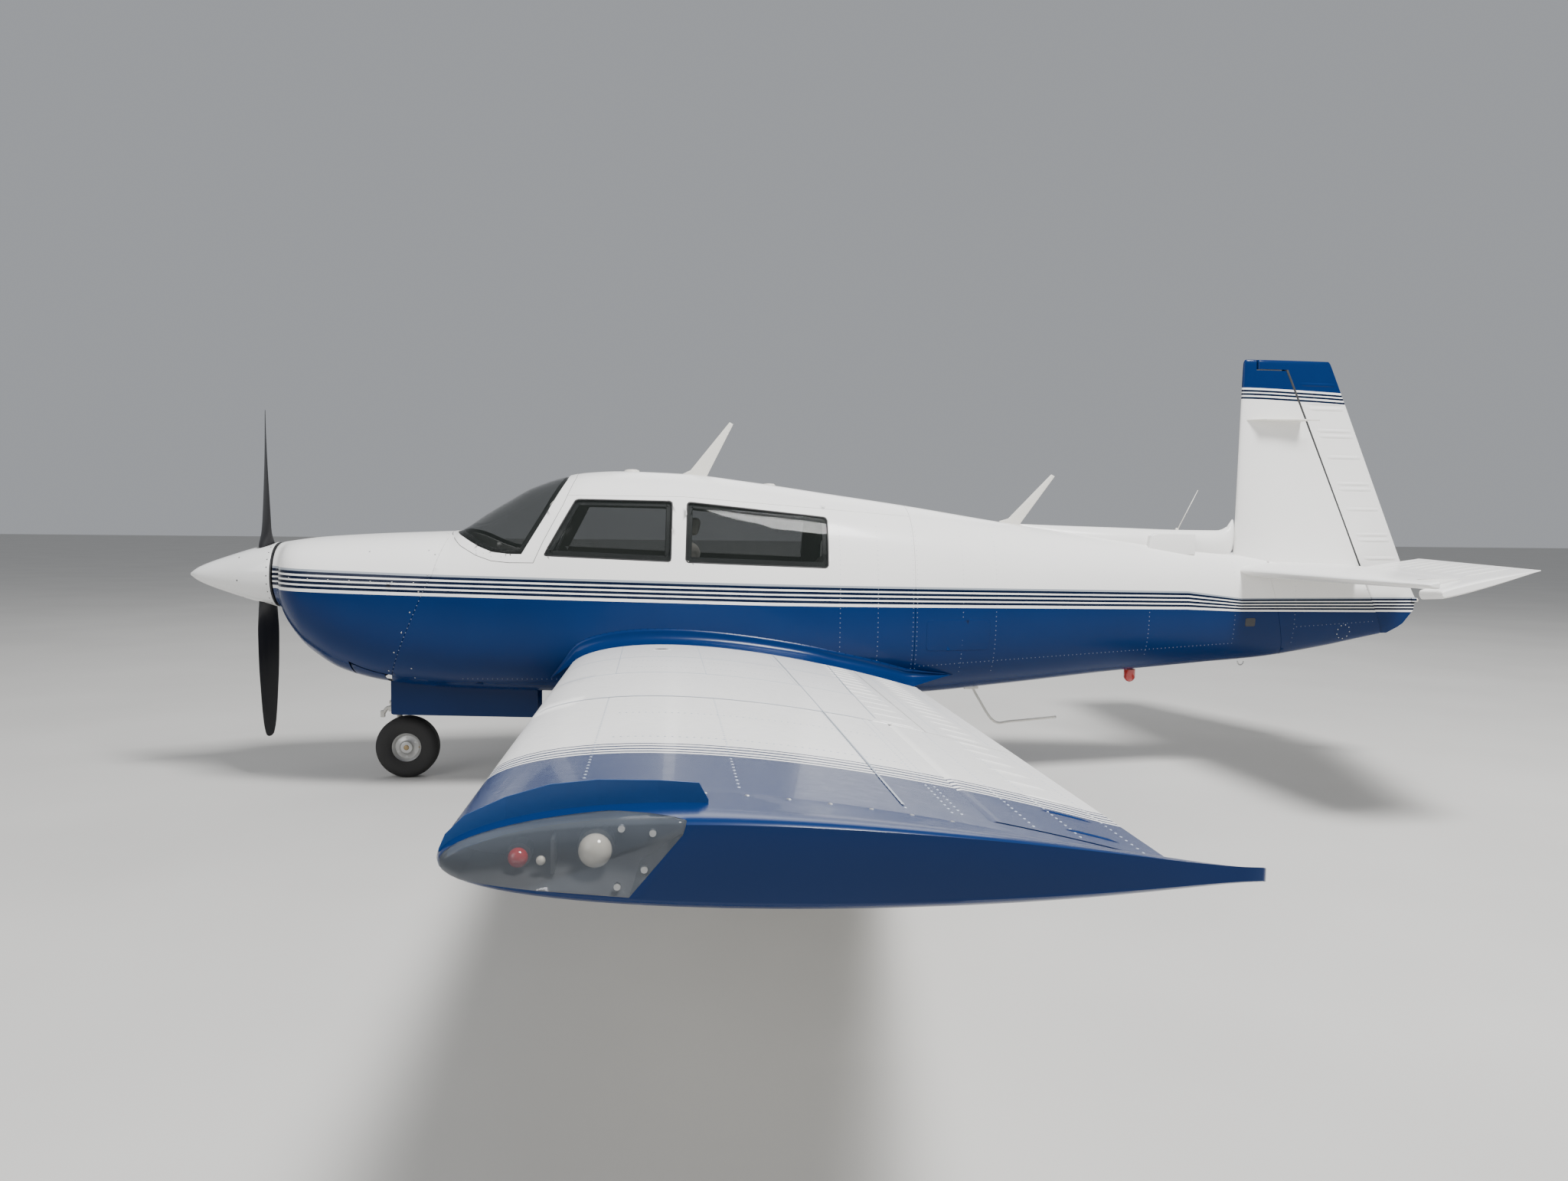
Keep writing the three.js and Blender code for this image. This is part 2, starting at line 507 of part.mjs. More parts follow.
piece(cabin, "baggage_bulkhead",
  shared(cabinLining, box(CABIN_BACK - 6, CABIN_BACK - 1, -WIDE, WIDE, LOW, HIGH)), PAINT.cloth);
const bayOutside = box(NOSE_BAY.front + SEAM, NOSE_BAY.back + NOSE_BAY.wall, -NOSE_BAY.half - NOSE_BAY.wall,
  NOSE_BAY.half + NOSE_BAY.wall, LOW, NOSE_BAY.top + NOSE_BAY.wall);
const bayInside = box(NOSE_BAY.front + NOSE_BAY.wall, NOSE_BAY.back - SEAM, -NOSE_BAY.half, NOSE_BAY.half, LOW, NOSE_BAY.top);
const NOSE_STEER = { top: [1172, 0, 786], bottom: [1125, 0, 400], radius: 26 };
const trunnion = bar([NOSE_STEER.top[0], -NOSE_BAY.half - 2, 762], [NOSE_STEER.top[0], NOSE_BAY.half + 2, 762], 40);
piece(cabin, "nose_wheel_well",
  cut(join(cut(shared(bayOutside, cabinLining), bayInside), trunnion),
    bar([1177, 0, 827], NOSE_STEER.bottom, boreFor(NOSE_STEER.radius, 16))), PAINT.metal);

// Instrument panel with its glare shield and two control wheels
const panelOutline = [[1640, 1296], [1700, 1322], [1974, 1348], [1987, 1334], [1976, 1010], [1946, 1010], [1946, 1318], [1640, 1285]];
const YOKE = { side: 262, height: 1120, reach: 2165, half: 105 };
const yokes = BOTH_SIDES.flatMap(([, side]) => {
  const middle = side * YOKE.side;
  const grip = (end) => bar([YOKE.reach, middle + end * YOKE.half, YOKE.height], [YOKE.reach + 6, middle + end * YOKE.half * 1.05, YOKE.height + 120], 14);
  return [
    bar([1960, middle, YOKE.height], [YOKE.reach, middle, YOKE.height], 12),
    bar([YOKE.reach, middle - YOKE.half - 10, YOKE.height], [YOKE.reach, middle + YOKE.half + 10, YOKE.height], 16),
    grip(-1), grip(1),
  ];
});
piece(cabin, "instrument_panel", shared(join(across(panelOutline), ...yokes), cabinLining), PAINT.black);

// Seats: the base, cushion and back of each are one plain body
const SEAT_BASE = FLOOR.height + FLOOR.thickness + SEAM;
function seat(front, middle, half, backTop, headrest) {
  const cushion = rounded([[front, 835], [front, 965], [front + 480, 945], [front + 480, 835]], 40);
  const back = rounded([[front + 430, 900], [front + 560, 880], [front + 560 + (backTop - 900) * 0.24, backTop],
    [front + 470 + (backTop - 900) * 0.24, backTop]], 40);
  const side = (outline, h) => prism("y", outline, middle - h, middle + h);
  const parts = [side(cushion, half), side(back, half), box(front + 60, front + 430, middle - half * 0.8, middle + half * 0.8, SEAT_BASE, 850)];
  if (headrest) {
    const leaning = front + 515 + (backTop - 900) * 0.24;
    parts.push(side(rounded([[leaning - 35, backTop - 40], [leaning + 45, backTop - 40], [leaning + 70, backTop + 130],
      [leaning, backTop + 130]], 30), half * 0.5));
  }
  return join(...parts);
}
for (const [name, side] of BOTH_SIDES)
  piece(cabin, "seat_front_" + name, seat(2235, side * 272, 228, 1430, true), PAINT.cloth);
piece(cabin, "seat_rear", seat(3140, 0, 470, 1330, false), PAINT.cloth);

// Tail: hollow cone, fin fillet, fin, rudder, stabilizers and elevators
const tail = new THREE.Group();
aircraft.add(tail);
const hingeStation = (z) => RUDDER.hingeTop + (RUDDER.top - z) * RUDDER.slope;
const rudderAxis = (radius) => bar([hingeStation(780), 0, 780], [hingeStation(2620), 0, 2620], radius, radius, 20);
const rudderRegion = (gap) => prism("y", [
  [hingeStation(780), 780], [hingeStation(RUDDER.top - gap), RUDDER.top - gap],
  [RUDDER.horn - gap, RUDDER.top - gap], [RUDDER.horn - gap, 2620], [7700, 2620], [7700, 780],
], -200, 200);
const rudderSpace = join(rudderRegion(MOVING_GAP), rudderAxis(RUDDER.noseRadius + MOVING_GAP));
piece(tail, "tail_cone",
  cut(shared(cut(bodyOutside, tailInside), box(CABIN_BACK + SEAM / 2, 7400, -WIDE, WIDE, LOW, HIGH)), rudderSpace),
  PAINT.white);

// Half thickness of a smooth symmetric section, as a share of its full thickness
const halfThickness = (u) => 5 * (0.2969 * Math.sqrt(u) - 0.126 * u - 0.3516 * u ** 2 + 0.2843 * u ** 3 - 0.1036 * u ** 4);
const CHORD_STEPS = 11;
const chordShare = (i) => 0.5 - 0.5 * Math.cos((i / CHORD_STEPS) * Math.PI);
const EDGE = 1.5; // half the blunt thickness of a trailing edge

// Points round a section: back along the top to the nose, then along the bottom
function sectionOutline(thickness, camber = 0) {
  const point = (i, side) => {
    const u = chordShare(i);
    const arch = camber * 4 * u * (1 - u);
    return [u, arch + side * Math.max(halfThickness(u) * thickness, u > 0.5 ? EDGE : 0)];
  };
  const top = Array.from({ length: CHORD_STEPS + 1 }, (_, i) => point(CHORD_STEPS - i, 1));
  const bottom = Array.from({ length: CHORD_STEPS }, (_, i) => point(i + 1, -1));
  return [...top, ...bottom];
}

const finSkin = (margin) => skin(FIN_SECTIONS.map(([z, front, back, thickness]) =>
  sectionOutline(thickness + 2 * margin).map(([u, y]) => [front - margin + u * (back - front + 2 * margin), y, z])));
const finBody = finSkin(0);
const dorsalRing = ([station, top, half]) => Array.from({ length: 12 }, (_, i) => {
  const angle = (i / 12) * 2 * Math.PI;
  return [station, half * Math.cos(angle), top - 90 + 90 * Math.sin(angle) * (Math.sin(angle) > 0 ? 1 : 1.2)];
});
piece(tail, "dorsal_fairing", cut(skin(DORSAL_SECTIONS.map(dorsalRing)), bodyClear), PAINT.white);
const rudderHinges = [1330, 1800, 2250].map((z) => hinge([hingeStation(z), 0, z], [-RUDDER.slope, 0, 1], [-64, 0, -28]));
piece(tail, "fin",
  join(cut(shared(finBody, box(6249, 7400, -200, 200, 1210, 2700)), bodyClear, rudderSpace), ...rudderHinges.map(({ lug }) => lug)),
  PAINT.white);
const tailLight = bar([7480, 0, RUDDER.light], [LENGTH, 0, RUDDER.light], 16, 12);
piece(tail, "rudder",
  join(cut(shared(finBody, join(rudderRegion(0), rudderAxis(RUDDER.noseRadius))), ...rudderHinges.map(({ slot }) => slot)),
    tailLight, ...rudderHinges.map(({ pin }) => pin)), PAINT.white);

const stabilizerLine = (at0, slope) => (y) => at0 + slope * y;
const stabFront = stabilizerLine(STABILIZER.frontAt0, STABILIZER.frontSlope);
const stabBack = stabilizerLine(STABILIZER.backAt0, STABILIZER.backSlope);
const elevatorHinge = stabilizerLine(STABILIZER.hingeAt0, STABILIZER.hingeSlope);
const ELEVATOR_NOSE = [33, 24]; // radius at the inner and outer end
for (const [name, side] of BOTH_SIDES) {
  const { height, half, hornStart, hornFront, elevatorStart } = STABILIZER;
  const surface = skin([[20, STABILIZER.rootThickness], [half - 30, STABILIZER.tipThickness + 2], [half, STABILIZER.tipThickness * 0.6]]
    .map(([y, thickness]) => sectionOutline(thickness)
      .map(([u, z]) => [stabFront(y) + u * (stabBack(y) - stabFront(y)), side * y, height + z])));
  const hingeAt = (y) => [elevatorHinge(y), side * y, height];
  const region = (gap) => prism("z", [
    [elevatorHinge(elevatorStart - gap) + 2 - gap, elevatorStart - gap], [elevatorHinge(hornStart - gap) + 2 - gap, hornStart - gap],
    [hornFront - gap, hornStart - gap], [hornFront - gap, half + 50], [7700, half + 50], [7700, elevatorStart + 50 - gap],
  ].map(([s, y]) => [s, side * y]), 1000, 1500);
  const hinges = [430, 1400].map((y) => hinge(hingeAt(y), [STABILIZER.hingeSlope, side, 0], [-64, 0, 0]));
  const nosePiece = (from, to, extra) => bar(hingeAt(from), hingeAt(to), ELEVATOR_NOSE[0] + extra, ELEVATOR_NOSE[1] + extra, 20);
  const innerAft = prism("z", [[elevatorHinge(0) - 60, -80], [7700, -80], [7700, elevatorStart + 50], [elevatorHinge(0) - 60, elevatorStart - MOVING_GAP]]
    .map(([s, y]) => [s, side * y]), 1000, 1500);
  piece(tail, "stabilizer_" + name,
    join(cut(surface, bodyClear, finSkin(SEAM), region(MOVING_GAP), innerAft,
      nosePiece(elevatorStart - MOVING_GAP, half + 60, MOVING_GAP)), ...hinges.map(({ lug }) => lug)), PAINT.white);
  const flying = join(cut(shared(surface, join(region(0), nosePiece(elevatorStart, half, 0))), ...hinges.map(({ slot }) => slot)),
    ...hinges.map(({ pin }) => pin));
  const axis = new THREE.Vector3(...hingeAt(half)).sub(new THREE.Vector3(...hingeAt(0))).normalize();
  const origin = new THREE.Vector3(...hingeAt(0));
  const drooped = geometryOf(flying).translate(-origin.x, -origin.y, -origin.z)
    .applyMatrix4(new THREE.Matrix4().makeRotationAxis(axis, degrees(side * -ELEVATOR_DROOP)))
    .translate(origin.x, origin.y, origin.z);
  piece(tail, "elevator_" + name, solidOf(drooped), PAINT.white);
}

// Wings: solid panels with flap, aileron and wheel well cut out, and a sculpted tip
const wings = new THREE.Group();
aircraft.add(wings);
const wingFront = (y) => WING.frontAt0 + WING.frontSlope * y;
const wingBack = (y) => WING.backAt0 + WING.backSlope * y;
const wingFrontHeight = (y) => WING.frontHeight + WING.frontRise * y;
const wingBackHeight = (y) => WING.backHeight + WING.backRise * y;
const chordHeight = (y, share) => wingFrontHeight(y) + share * (wingBackHeight(y) - wingFrontHeight(y));
const WING_CAMBER = 0.016;
const wingThickness = (y) =>
  WING.rootThickness + ((WING.tipThickness - WING.rootThickness) * (y - WING.root)) / (HALF_SPAN - WING.root);
function wingRing(side, y, {
  front = wingFront(y), back = wingBack(y), frontHeight = wingFrontHeight(y), backHeight = wingBackHeight(y),
  thickness = wingThickness(y), camber = WING_CAMBER,
} = {}) {
  const chord = back - front;
  return sectionOutline(thickness * chord, camber * chord)
    .map(([u, z]) => [front + u * chord, side * y, frontHeight + u * (backHeight - frontHeight) + z]);
}

// Tip fairing, turned up at the back. Columns: distance from the centre line, front, back,
// height of the front and of the back, thickness as a share of the chord.
const TIP_SECTIONS = [
  [5400, 2418, 3482, 1103, 1042, 0.118],
  [5470, 2424, 3478, 1109, 1066, 0.106],
  [HALF_SPAN, 2440, 3462, 1112, 1076, 0.086],
];
// Hinged panels on the trailing edge. Columns: name, inner end, outer end, where the hinges are.
const TRAILING_PANELS = [
  ["flap", WING.flapStart, WING.flapEnd, [900, 2200, 3550]],
  ["aileron", WING.flapEnd + 12, 5225, [4100, 5000]],
];
for (const [name, side] of BOTH_SIDES) {
  const panel = skin([WING.root, WING.aileronEnd].map((y) => wingRing(side, y)));
  const plan = (points, z0 = 300, z1 = 1500) => prism("z", points.map(([s, y]) => [s, side * y]), z0, z1);
  const axisPoint = (y) => {
    const chord = wingBack(y) - wingFront(y);
    const arch = WING_CAMBER * 4 * WING.hinge * (1 - WING.hinge) * chord;
    return [wingFront(y) + WING.hinge * chord, side * y, chordHeight(y, WING.hinge) + arch];
  };
  const noseRadius = (y) => halfThickness(WING.hinge) * wingThickness(y) * (wingBack(y) - wingFront(y));
  const panels = TRAILING_PANELS.map(([label, start, end, stations]) => {
    const strip = (gap, front) => plan([[front(start) - gap, start - 1.5 * gap], [front(end) - gap, end + 1.5 * gap],
      [4400, end + 1.5 * gap], [4400, start - 1.5 * gap]]);
    const region = (gap) => strip(gap, (y) => axisPoint(y)[0] + 3);
    const round = (gap) => shared(strip(gap, () => 2000),
      bar(axisPoint(start - 30), axisPoint(end + 30), noseRadius(start - 30) + gap, noseRadius(end + 30) + gap, 20));
    const [inner, outer] = [start, end].map(axisPoint);
    const hinges = stations.map((y) => hinge(axisPoint(y), inner.map((v, i) => outer[i] - v), [-noseRadius(y) - 34, 0, 0]));
    const parts = (key) => hinges.map((each) => each[key]);
    const solid = shared(panel, join(region(0), round(0)));
    return { label, space: join(region(MOVING_GAP), round(MOVING_GAP)), lugs: parts("lug"),
      solid: join(cut(solid, ...parts("slot")), ...parts("pin")) };
  });
  const { radius, side: wellSide, legHalf, depthTop } = WHEEL_WELL;
  const wheelWell = join(
    bar([MAIN_WHEEL.station, side * wellSide, LOW], [MAIN_WHEEL.station, side * wellSide, depthTop - 30], radius, radius, 28),
    box(MAIN_WHEEL.station - legHalf, MAIN_WHEEL.station + legHalf, Math.min(side * wellSide, side * 1440),
      Math.max(side * wellSide, side * 1440), LOW, depthTop - 20));
  piece(wings, "wing_" + name,
    join(cut(panel, bodyClear, ...panels.map(({ space }) => space), wheelWell), ...panels.flatMap(({ lugs }) => lugs)),
    PAINT.white);
  for (const { label, solid } of panels) piece(wings, label + "_" + name, cut(solid, body(-12)), PAINT.white);
  piece(wings, "wing_tip_" + name, skin([
    wingRing(side, WING.aileronEnd + SEAM),
    ...TIP_SECTIONS.map(([y, front, back, frontHeight, backHeight, thickness]) =>
      wingRing(side, y, { front, back, frontHeight, backHeight, thickness, camber: WING_CAMBER / 2 })),
  ]), PAINT.blue);
}

// Landing gear
const gear = new THREE.Group();
aircraft.add(gear);
const WHEEL_SIDES = 24; // a tyre stands on the middle of one flat
const axleHeight = (diameter) => (diameter / 2) * Math.cos(Math.PI / WHEEL_SIDES);
function tyre({ diameter, width }, rim) {
  const r = diameter / 2;
  const profile = [[rim, -width * 0.36], [r * 0.8, -width * 0.47], [r * 0.93, -width * 0.42], [r, -width * 0.2],
    [r, width * 0.2], [r * 0.93, width * 0.42], [r * 0.8, width * 0.47], [rim, width * 0.36]];
  const outline = profile.map(([u, v]) => new THREE.Vector2(u, v));
  return new THREE.LatheGeometry([...outline, outline[0]], WHEEL_SIDES).rotateY(Math.PI / WHEEL_SIDES);
}
function hubDisc(width, rim, bore) {
  const profile = [[bore, -width * 0.36], [rim * 0.55, -width * 0.36], [rim * 0.62, -width * 0.3], [rim, -width * 0.34],
    [rim, width * 0.34], [rim * 0.62, width * 0.3], [rim * 0.55, width * 0.36], [bore, width * 0.36]];
  const outline = profile.map(([u, v]) => new THREE.Vector2(u, v));
  return new THREE.LatheGeometry([...outline, outline[0]], WHEEL_SIDES).rotateY(Math.PI / WHEEL_SIDES);
}
function wheel(name, size, side, rim, bore) {
  const axle = [size.station, side, axleHeight(size.diameter)];
  piece(gear, name + "_tyre", solidOf(tyre(size, rim).translate(...axle)), PAINT.rubber);
  piece(gear, name + "_hub", solidOf(hubDisc(size.width, rim - SEAM, bore).translate(...axle)), PAINT.metal);
}
const MAIN_RIM = 96;
const NOSE_RIM = 84;
const AXLE = 14;
wheel("nose_wheel", NOSE_WHEEL, 0, NOSE_RIM, AXLE + SEAM);

// Nose leg: steering tube turning in the bay's trunnion, crown and trailing fork
const forkSide = NOSE_WHEEL.width / 2 + 22;
const noseAxle = [NOSE_WHEEL.station, 0, axleHeight(NOSE_WHEEL.diameter)];
piece(gear, "nose_leg", join(
  bar(NOSE_STEER.top, NOSE_STEER.bottom, NOSE_STEER.radius),
  box(1095, 1152, -forkSide - 9, forkSide + 9, 388, 424),
  ...BOTH_SIDES.map(([, side]) => bar([1125, side * forkSide, 404], [noseAxle[0], side * forkSide, noseAxle[2]], 17, 20)),
  bar([noseAxle[0], -forkSide - 14, noseAxle[2]], [noseAxle[0], forkSide + 14, noseAxle[2]], AXLE),
  bar([1085, 0, 405], [1062, 0, 372], 12),
  bar([1110, 0, 406], [1085, 0, 405], 16),
), PAINT.metal);
for (const [name, side] of BOTH_SIDES) {
  const edge = side * (NOSE_BAY.half + 5);
  const outline = [[1136, 640], [1136, 392], [1150, 386], [1950, 364], [1968, 372], [1968, 600]];
  piece(gear, "nose_gear_door_" + name,
    cut(prism("y", outline, Math.min(edge, edge + side * 5), Math.max(edge, edge + side * 5)), bodyClear), PAINT.blue);
}

// Main legs: trunnion across the slot, leg, axle, and a cover panel outboard of the wheel
for (const [name, side] of BOTH_SIDES) {
  const { station, side: out, diameter, width } = MAIN_WHEEL;
  wheel("main_wheel_" + name, { ...MAIN_WHEEL }, side * out, MAIN_RIM, AXLE + 2 + SEAM);
  const legSide = out - width / 2 - 38;
  const slotHalf = WHEEL_WELL.legHalf - SEAM;
  const axle = axleHeight(diameter);
  piece(gear, "main_leg_" + name, join(
    bar([station - slotHalf, side * legSide, 672], [station + slotHalf, side * legSide, 672], 24),
    bar([station, side * legSide, 676], [station, side * (legSide + 4), axle], 28, 24),
    bar([station, side * (legSide + 4), axle], [station, side * (out + width / 2 + 6), axle], AXLE + 2),
    bar([station - 26, side * legSide, 560], [station - 26, side * legSide, 640], 34),
    bar([station, side * legSide, 530], [station, side * (out + width / 2 + 12), 530], 10),
  ), PAINT.metal);
  const coverIn = out + width / 2 + 12 + SEAM;
  const cover = [[station - 175, 640], [station - 160, 330], [station + 150, 330], [station + 165, 640]];
  piece(gear, "main_gear_door_" + name,
    prism("y", rounded(cover, 30), Math.min(side * coverIn, side * (coverIn + 4)), Math.max(side * coverIn, side * (coverIn + 4))),
    PAINT.white);
}

// Blade aerials on the centre line of the roof and the tail
const AERIALS = {
  roof_aerial: [[2794, 1740], [2944, 1740], [2950, 1792], [3108, 2100], [3080, 2112], [2850, 1822], [2794, 1796]],
  tail_aerial: [[4742, 1490], [4872, 1480], [4880, 1528], [5092, 1820], [5066, 1832], [4800, 1556], [4742, 1540]],
};
for (const [name, outline] of Object.entries(AERIALS))
  piece(tail, name, cut(prism("y", outline, -9, 9), bodyClear, skin(DORSAL_SECTIONS.map(dorsalRing))), PAINT.white);

export default aircraft;
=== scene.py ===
import math

import bmesh
import bpy
from mathutils import Matrix, Vector


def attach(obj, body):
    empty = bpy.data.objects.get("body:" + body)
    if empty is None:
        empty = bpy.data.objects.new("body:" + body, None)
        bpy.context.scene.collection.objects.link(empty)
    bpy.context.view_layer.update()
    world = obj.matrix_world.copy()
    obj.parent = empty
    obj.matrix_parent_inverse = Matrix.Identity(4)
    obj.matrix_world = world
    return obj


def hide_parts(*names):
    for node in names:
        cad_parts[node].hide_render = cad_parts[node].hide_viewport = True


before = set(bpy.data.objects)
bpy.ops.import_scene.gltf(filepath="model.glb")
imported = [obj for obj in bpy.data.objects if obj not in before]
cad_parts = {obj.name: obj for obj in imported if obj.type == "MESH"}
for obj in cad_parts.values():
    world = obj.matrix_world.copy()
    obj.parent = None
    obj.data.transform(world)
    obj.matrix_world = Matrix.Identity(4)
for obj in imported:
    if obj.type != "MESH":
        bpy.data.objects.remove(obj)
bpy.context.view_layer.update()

# The camera stands left of the aircraft, level with the wheel wells, and looks across the
# wing a little towards the tail. Its place and its lens come from the photograph's geometry.
YAW, PITCH, ROLL = (math.radians(angle) for angle in (6.06, -3.37, 0.62))
ahead = Vector((math.sin(YAW) * math.cos(PITCH), math.cos(YAW) * math.cos(PITCH), math.sin(PITCH)))
level = Vector((math.cos(YAW), -math.sin(YAW), 0))
right = level * math.cos(ROLL) + level.cross(ahead) * math.sin(ROLL)
camera = bpy.data.objects.new("camera", bpy.data.cameras.new("camera"))
camera.data.sensor_width = 36
camera.data.lens = 26.17
turn = Matrix((right, right.cross(ahead), -ahead)).transposed().to_4x4()
camera.matrix_world = Matrix.Translation((-1.067, -6.845, 1.512)) @ turn
bpy.context.collection.objects.link(camera)
bpy.context.scene.camera = camera

# The studio: a pale floor that runs far out, a pale sky and three large soft lamps. They
# belong to the picture and not to the aircraft.


class Signal:
    """One socket of a material, so that a pattern can be written as a sum."""

    def __init__(self, tree, socket=None):
        self.tree = tree
        self.socket = socket

    def node(self, kind, settings=None, inputs=None, output=0):
        made = self.tree.nodes.new("ShaderNode" + kind)
        for name, value in (settings or {}).items():
            setattr(made, name, value)
        for name, value in (inputs or {}).items():
            if isinstance(value, Signal):
                self.tree.links.new(value.socket, made.inputs[name])
            else:
                made.inputs[name].default_value = value
        return Signal(self.tree, made.outputs[output])

    def maths(self, operation, *values):
        return self.node("Math", {"operation": operation}, dict(enumerate(values)))

    def __add__(self, other):
        return self.maths("ADD", self, other)

    __radd__ = __add__

    def __sub__(self, other):
        return self.maths("SUBTRACT", self, other)

    def __mul__(self, other):
        return self.maths("MULTIPLY", self, other)

    def __truediv__(self, other):
        return self.maths("DIVIDE", self, other)

    def __gt__(self, other):
        return self.maths("GREATER_THAN", self, other)

    def __lt__(self, other):
        return self.maths("LESS_THAN", self, other)

    def tint(self, low, high):
        """The low colour where this is 0 and the high colour where it is 1."""
        return self.node("Mix", {"data_type": "RGBA"}, {0: self, 6: low, 7: high}, output=2)

    def noise(self, where, scale, detail=3.0):
        return self.node("TexNoise", {}, {"Vector": where, "Scale": scale, "Detail": detail})

    def bumps(self, height, distance, strength=1.0):
        return self.node("Bump", {}, {"Height": height, "Distance": distance, "Strength": strength})


def colour(red, green, blue):
    return (red, green, blue, 1.0)


def new_material(name, **fixed):
    """A material with its shader, object coordinates and the values that don't vary."""
    material = bpy.data.materials.new(name)
    material.use_nodes = True
    tree = material.node_tree
    shader = tree.nodes["Principled BSDF"]
    for label, value in fixed.items():
        shader.inputs[label.replace("_", " ")].default_value = value
    signal = Signal(tree)
    where = signal.node("TexCoord", output=3)
    return material, shader, signal, where


def feed(shader, **varying):
    """Links patterns to the shader's sockets."""
    for label, signal in varying.items():
        signal.tree.links.new(signal.socket, shader.inputs[label.replace("_", " ")])


def split(signal, where):
    return [signal.node("SeparateXYZ", {}, {0: where}, output=axis) for axis in range(3)]


floor_material, floor_shader, floor_signal, floor_where = new_material(
    "studio_floor", Roughness=0.62, Specular_IOR_Level=0.3)
floor_cloud = floor_signal.noise(floor_where, 0.7)
feed(floor_shader, Base_Color=floor_cloud.tint(colour(0.50, 0.49, 0.47), colour(0.60, 0.59, 0.565)))
floor_bm = bmesh.new()
bmesh.ops.create_grid(floor_bm, x_segments=2, y_segments=2, size=90)
floor_mesh = bpy.data.meshes.new("floor")
floor_bm.to_mesh(floor_mesh)
floor = bpy.data.objects.new("floor", floor_mesh)
floor.data.materials.append(floor_material)
bpy.context.collection.objects.link(floor)

world = bpy.data.worlds.new("studio_sky")
world.use_nodes = True
world.node_tree.nodes["Background"].inputs["Color"].default_value = colour(0.86, 0.89, 0.94)
world.node_tree.nodes["Background"].inputs["Strength"].default_value = 0.42
bpy.context.scene.world = world

# Columns: name, place, aimed at, size, power
for lamp_name, place, target, size, power in [
    ("key_lamp", (4, -7, 14), (0, 0, 0.8), 4.0, 4100),
    ("fill_lamp", (-9, -9, 7), (-1, 0, 0.8), 8.0, 500),
    ("back_lamp", (2, 11, 9), (0, 0, 1.0), 8.0, 500),
]:
    lamp = bpy.data.lights.new(lamp_name, "AREA")
    lamp.size = size
    lamp.energy = power
    holder = bpy.data.objects.new(lamp_name, lamp)
    holder.location = place
    holder.rotation_euler = (Vector(target) - Vector(place)).to_track_quat("-Z", "Y").to_euler()
    bpy.context.collection.objects.link(holder)

# Painted body skins. The real ones are aluminium sheet riveted on frames and painted gloss
# white over blue, with a band of lines along the side where the two meet.
# Each panel is cut from one smooth body along its real joints, and its edge dips a little.
NOSE_TIP = -3.760  # the spinner's tip: stations are metres aft of it
BODY_SECTIONS = [
    # station, bottom, top, half width, height of the widest line, roundness above and below
    (0.510, 1.004, 1.368, 0.200, 1.188, 2.2, 2.1),
    (0.530, 0.988, 1.376, 0.209, 1.182, 2.3, 2.2),
    (0.560, 0.950, 1.381, 0.248, 1.175, 2.4, 2.2),
    (0.580, 0.920, 1.384, 0.306, 1.171, 2.4, 2.2),
    (0.600, 0.888, 1.387, 0.347, 1.167, 2.5, 2.2),
    (0.660, 0.812, 1.396, 0.412, 1.155, 2.6, 2.3),
    (0.720, 0.752, 1.404, 0.450, 1.142, 2.6, 2.4),
    (0.900, 0.643, 1.419, 0.508, 1.112, 2.6, 2.6),
    (1.140, 0.587, 1.433, 0.548, 1.082, 2.7, 3.0),
    (1.420, 0.556, 1.445, 0.577, 1.055, 2.8, 3.1),
    (1.525, 0.550, 1.450, 0.581, 1.047, 2.8, 3.2),
    (1.560, 0.548, 1.466, 0.582, 1.045, 2.75, 3.2),
    (1.680, 0.543, 1.552, 0.584, 1.035, 2.4, 3.2),
    (1.800, 0.538, 1.628, 0.585, 1.025, 2.3, 3.2),
    (1.940, 0.534, 1.708, 0.586, 1.015, 2.3, 3.2),
    (2.130, 0.528, 1.772, 0.587, 1.000, 2.6, 3.2),
    (2.260, 0.524, 1.796, 0.587, 0.990, 2.75, 3.2),
    (2.450, 0.518, 1.806, 0.586, 0.985, 2.8, 3.2),
    (2.800, 0.508, 1.797, 0.584, 0.985, 2.8, 3.2),
    (3.200, 0.500, 1.755, 0.575, 0.990, 2.7, 3.2),
    (3.650, 0.492, 1.694, 0.552, 1.000, 2.6, 3.0),
    (4.120, 0.496, 1.630, 0.498, 1.020, 2.5, 2.8),
    (4.760, 0.545, 1.532, 0.400, 1.050, 2.4, 2.6),
    (5.450, 0.616, 1.440, 0.290, 1.060, 2.3, 2.5),
    (6.050, 0.668, 1.370, 0.195, 1.060, 2.2, 2.4),
    (6.450, 0.702, 1.325, 0.138, 1.050, 2.2, 2.3),
    (6.850, 0.765, 1.275, 0.095, 1.040, 2.2, 2.2),
    (7.150, 0.826, 1.225, 0.062, 1.030, 2.2, 2.2),
    (7.270, 0.850, 1.190, 0.048, 1.025, 2.2, 2.2),
]
RING = 96  # points round the body


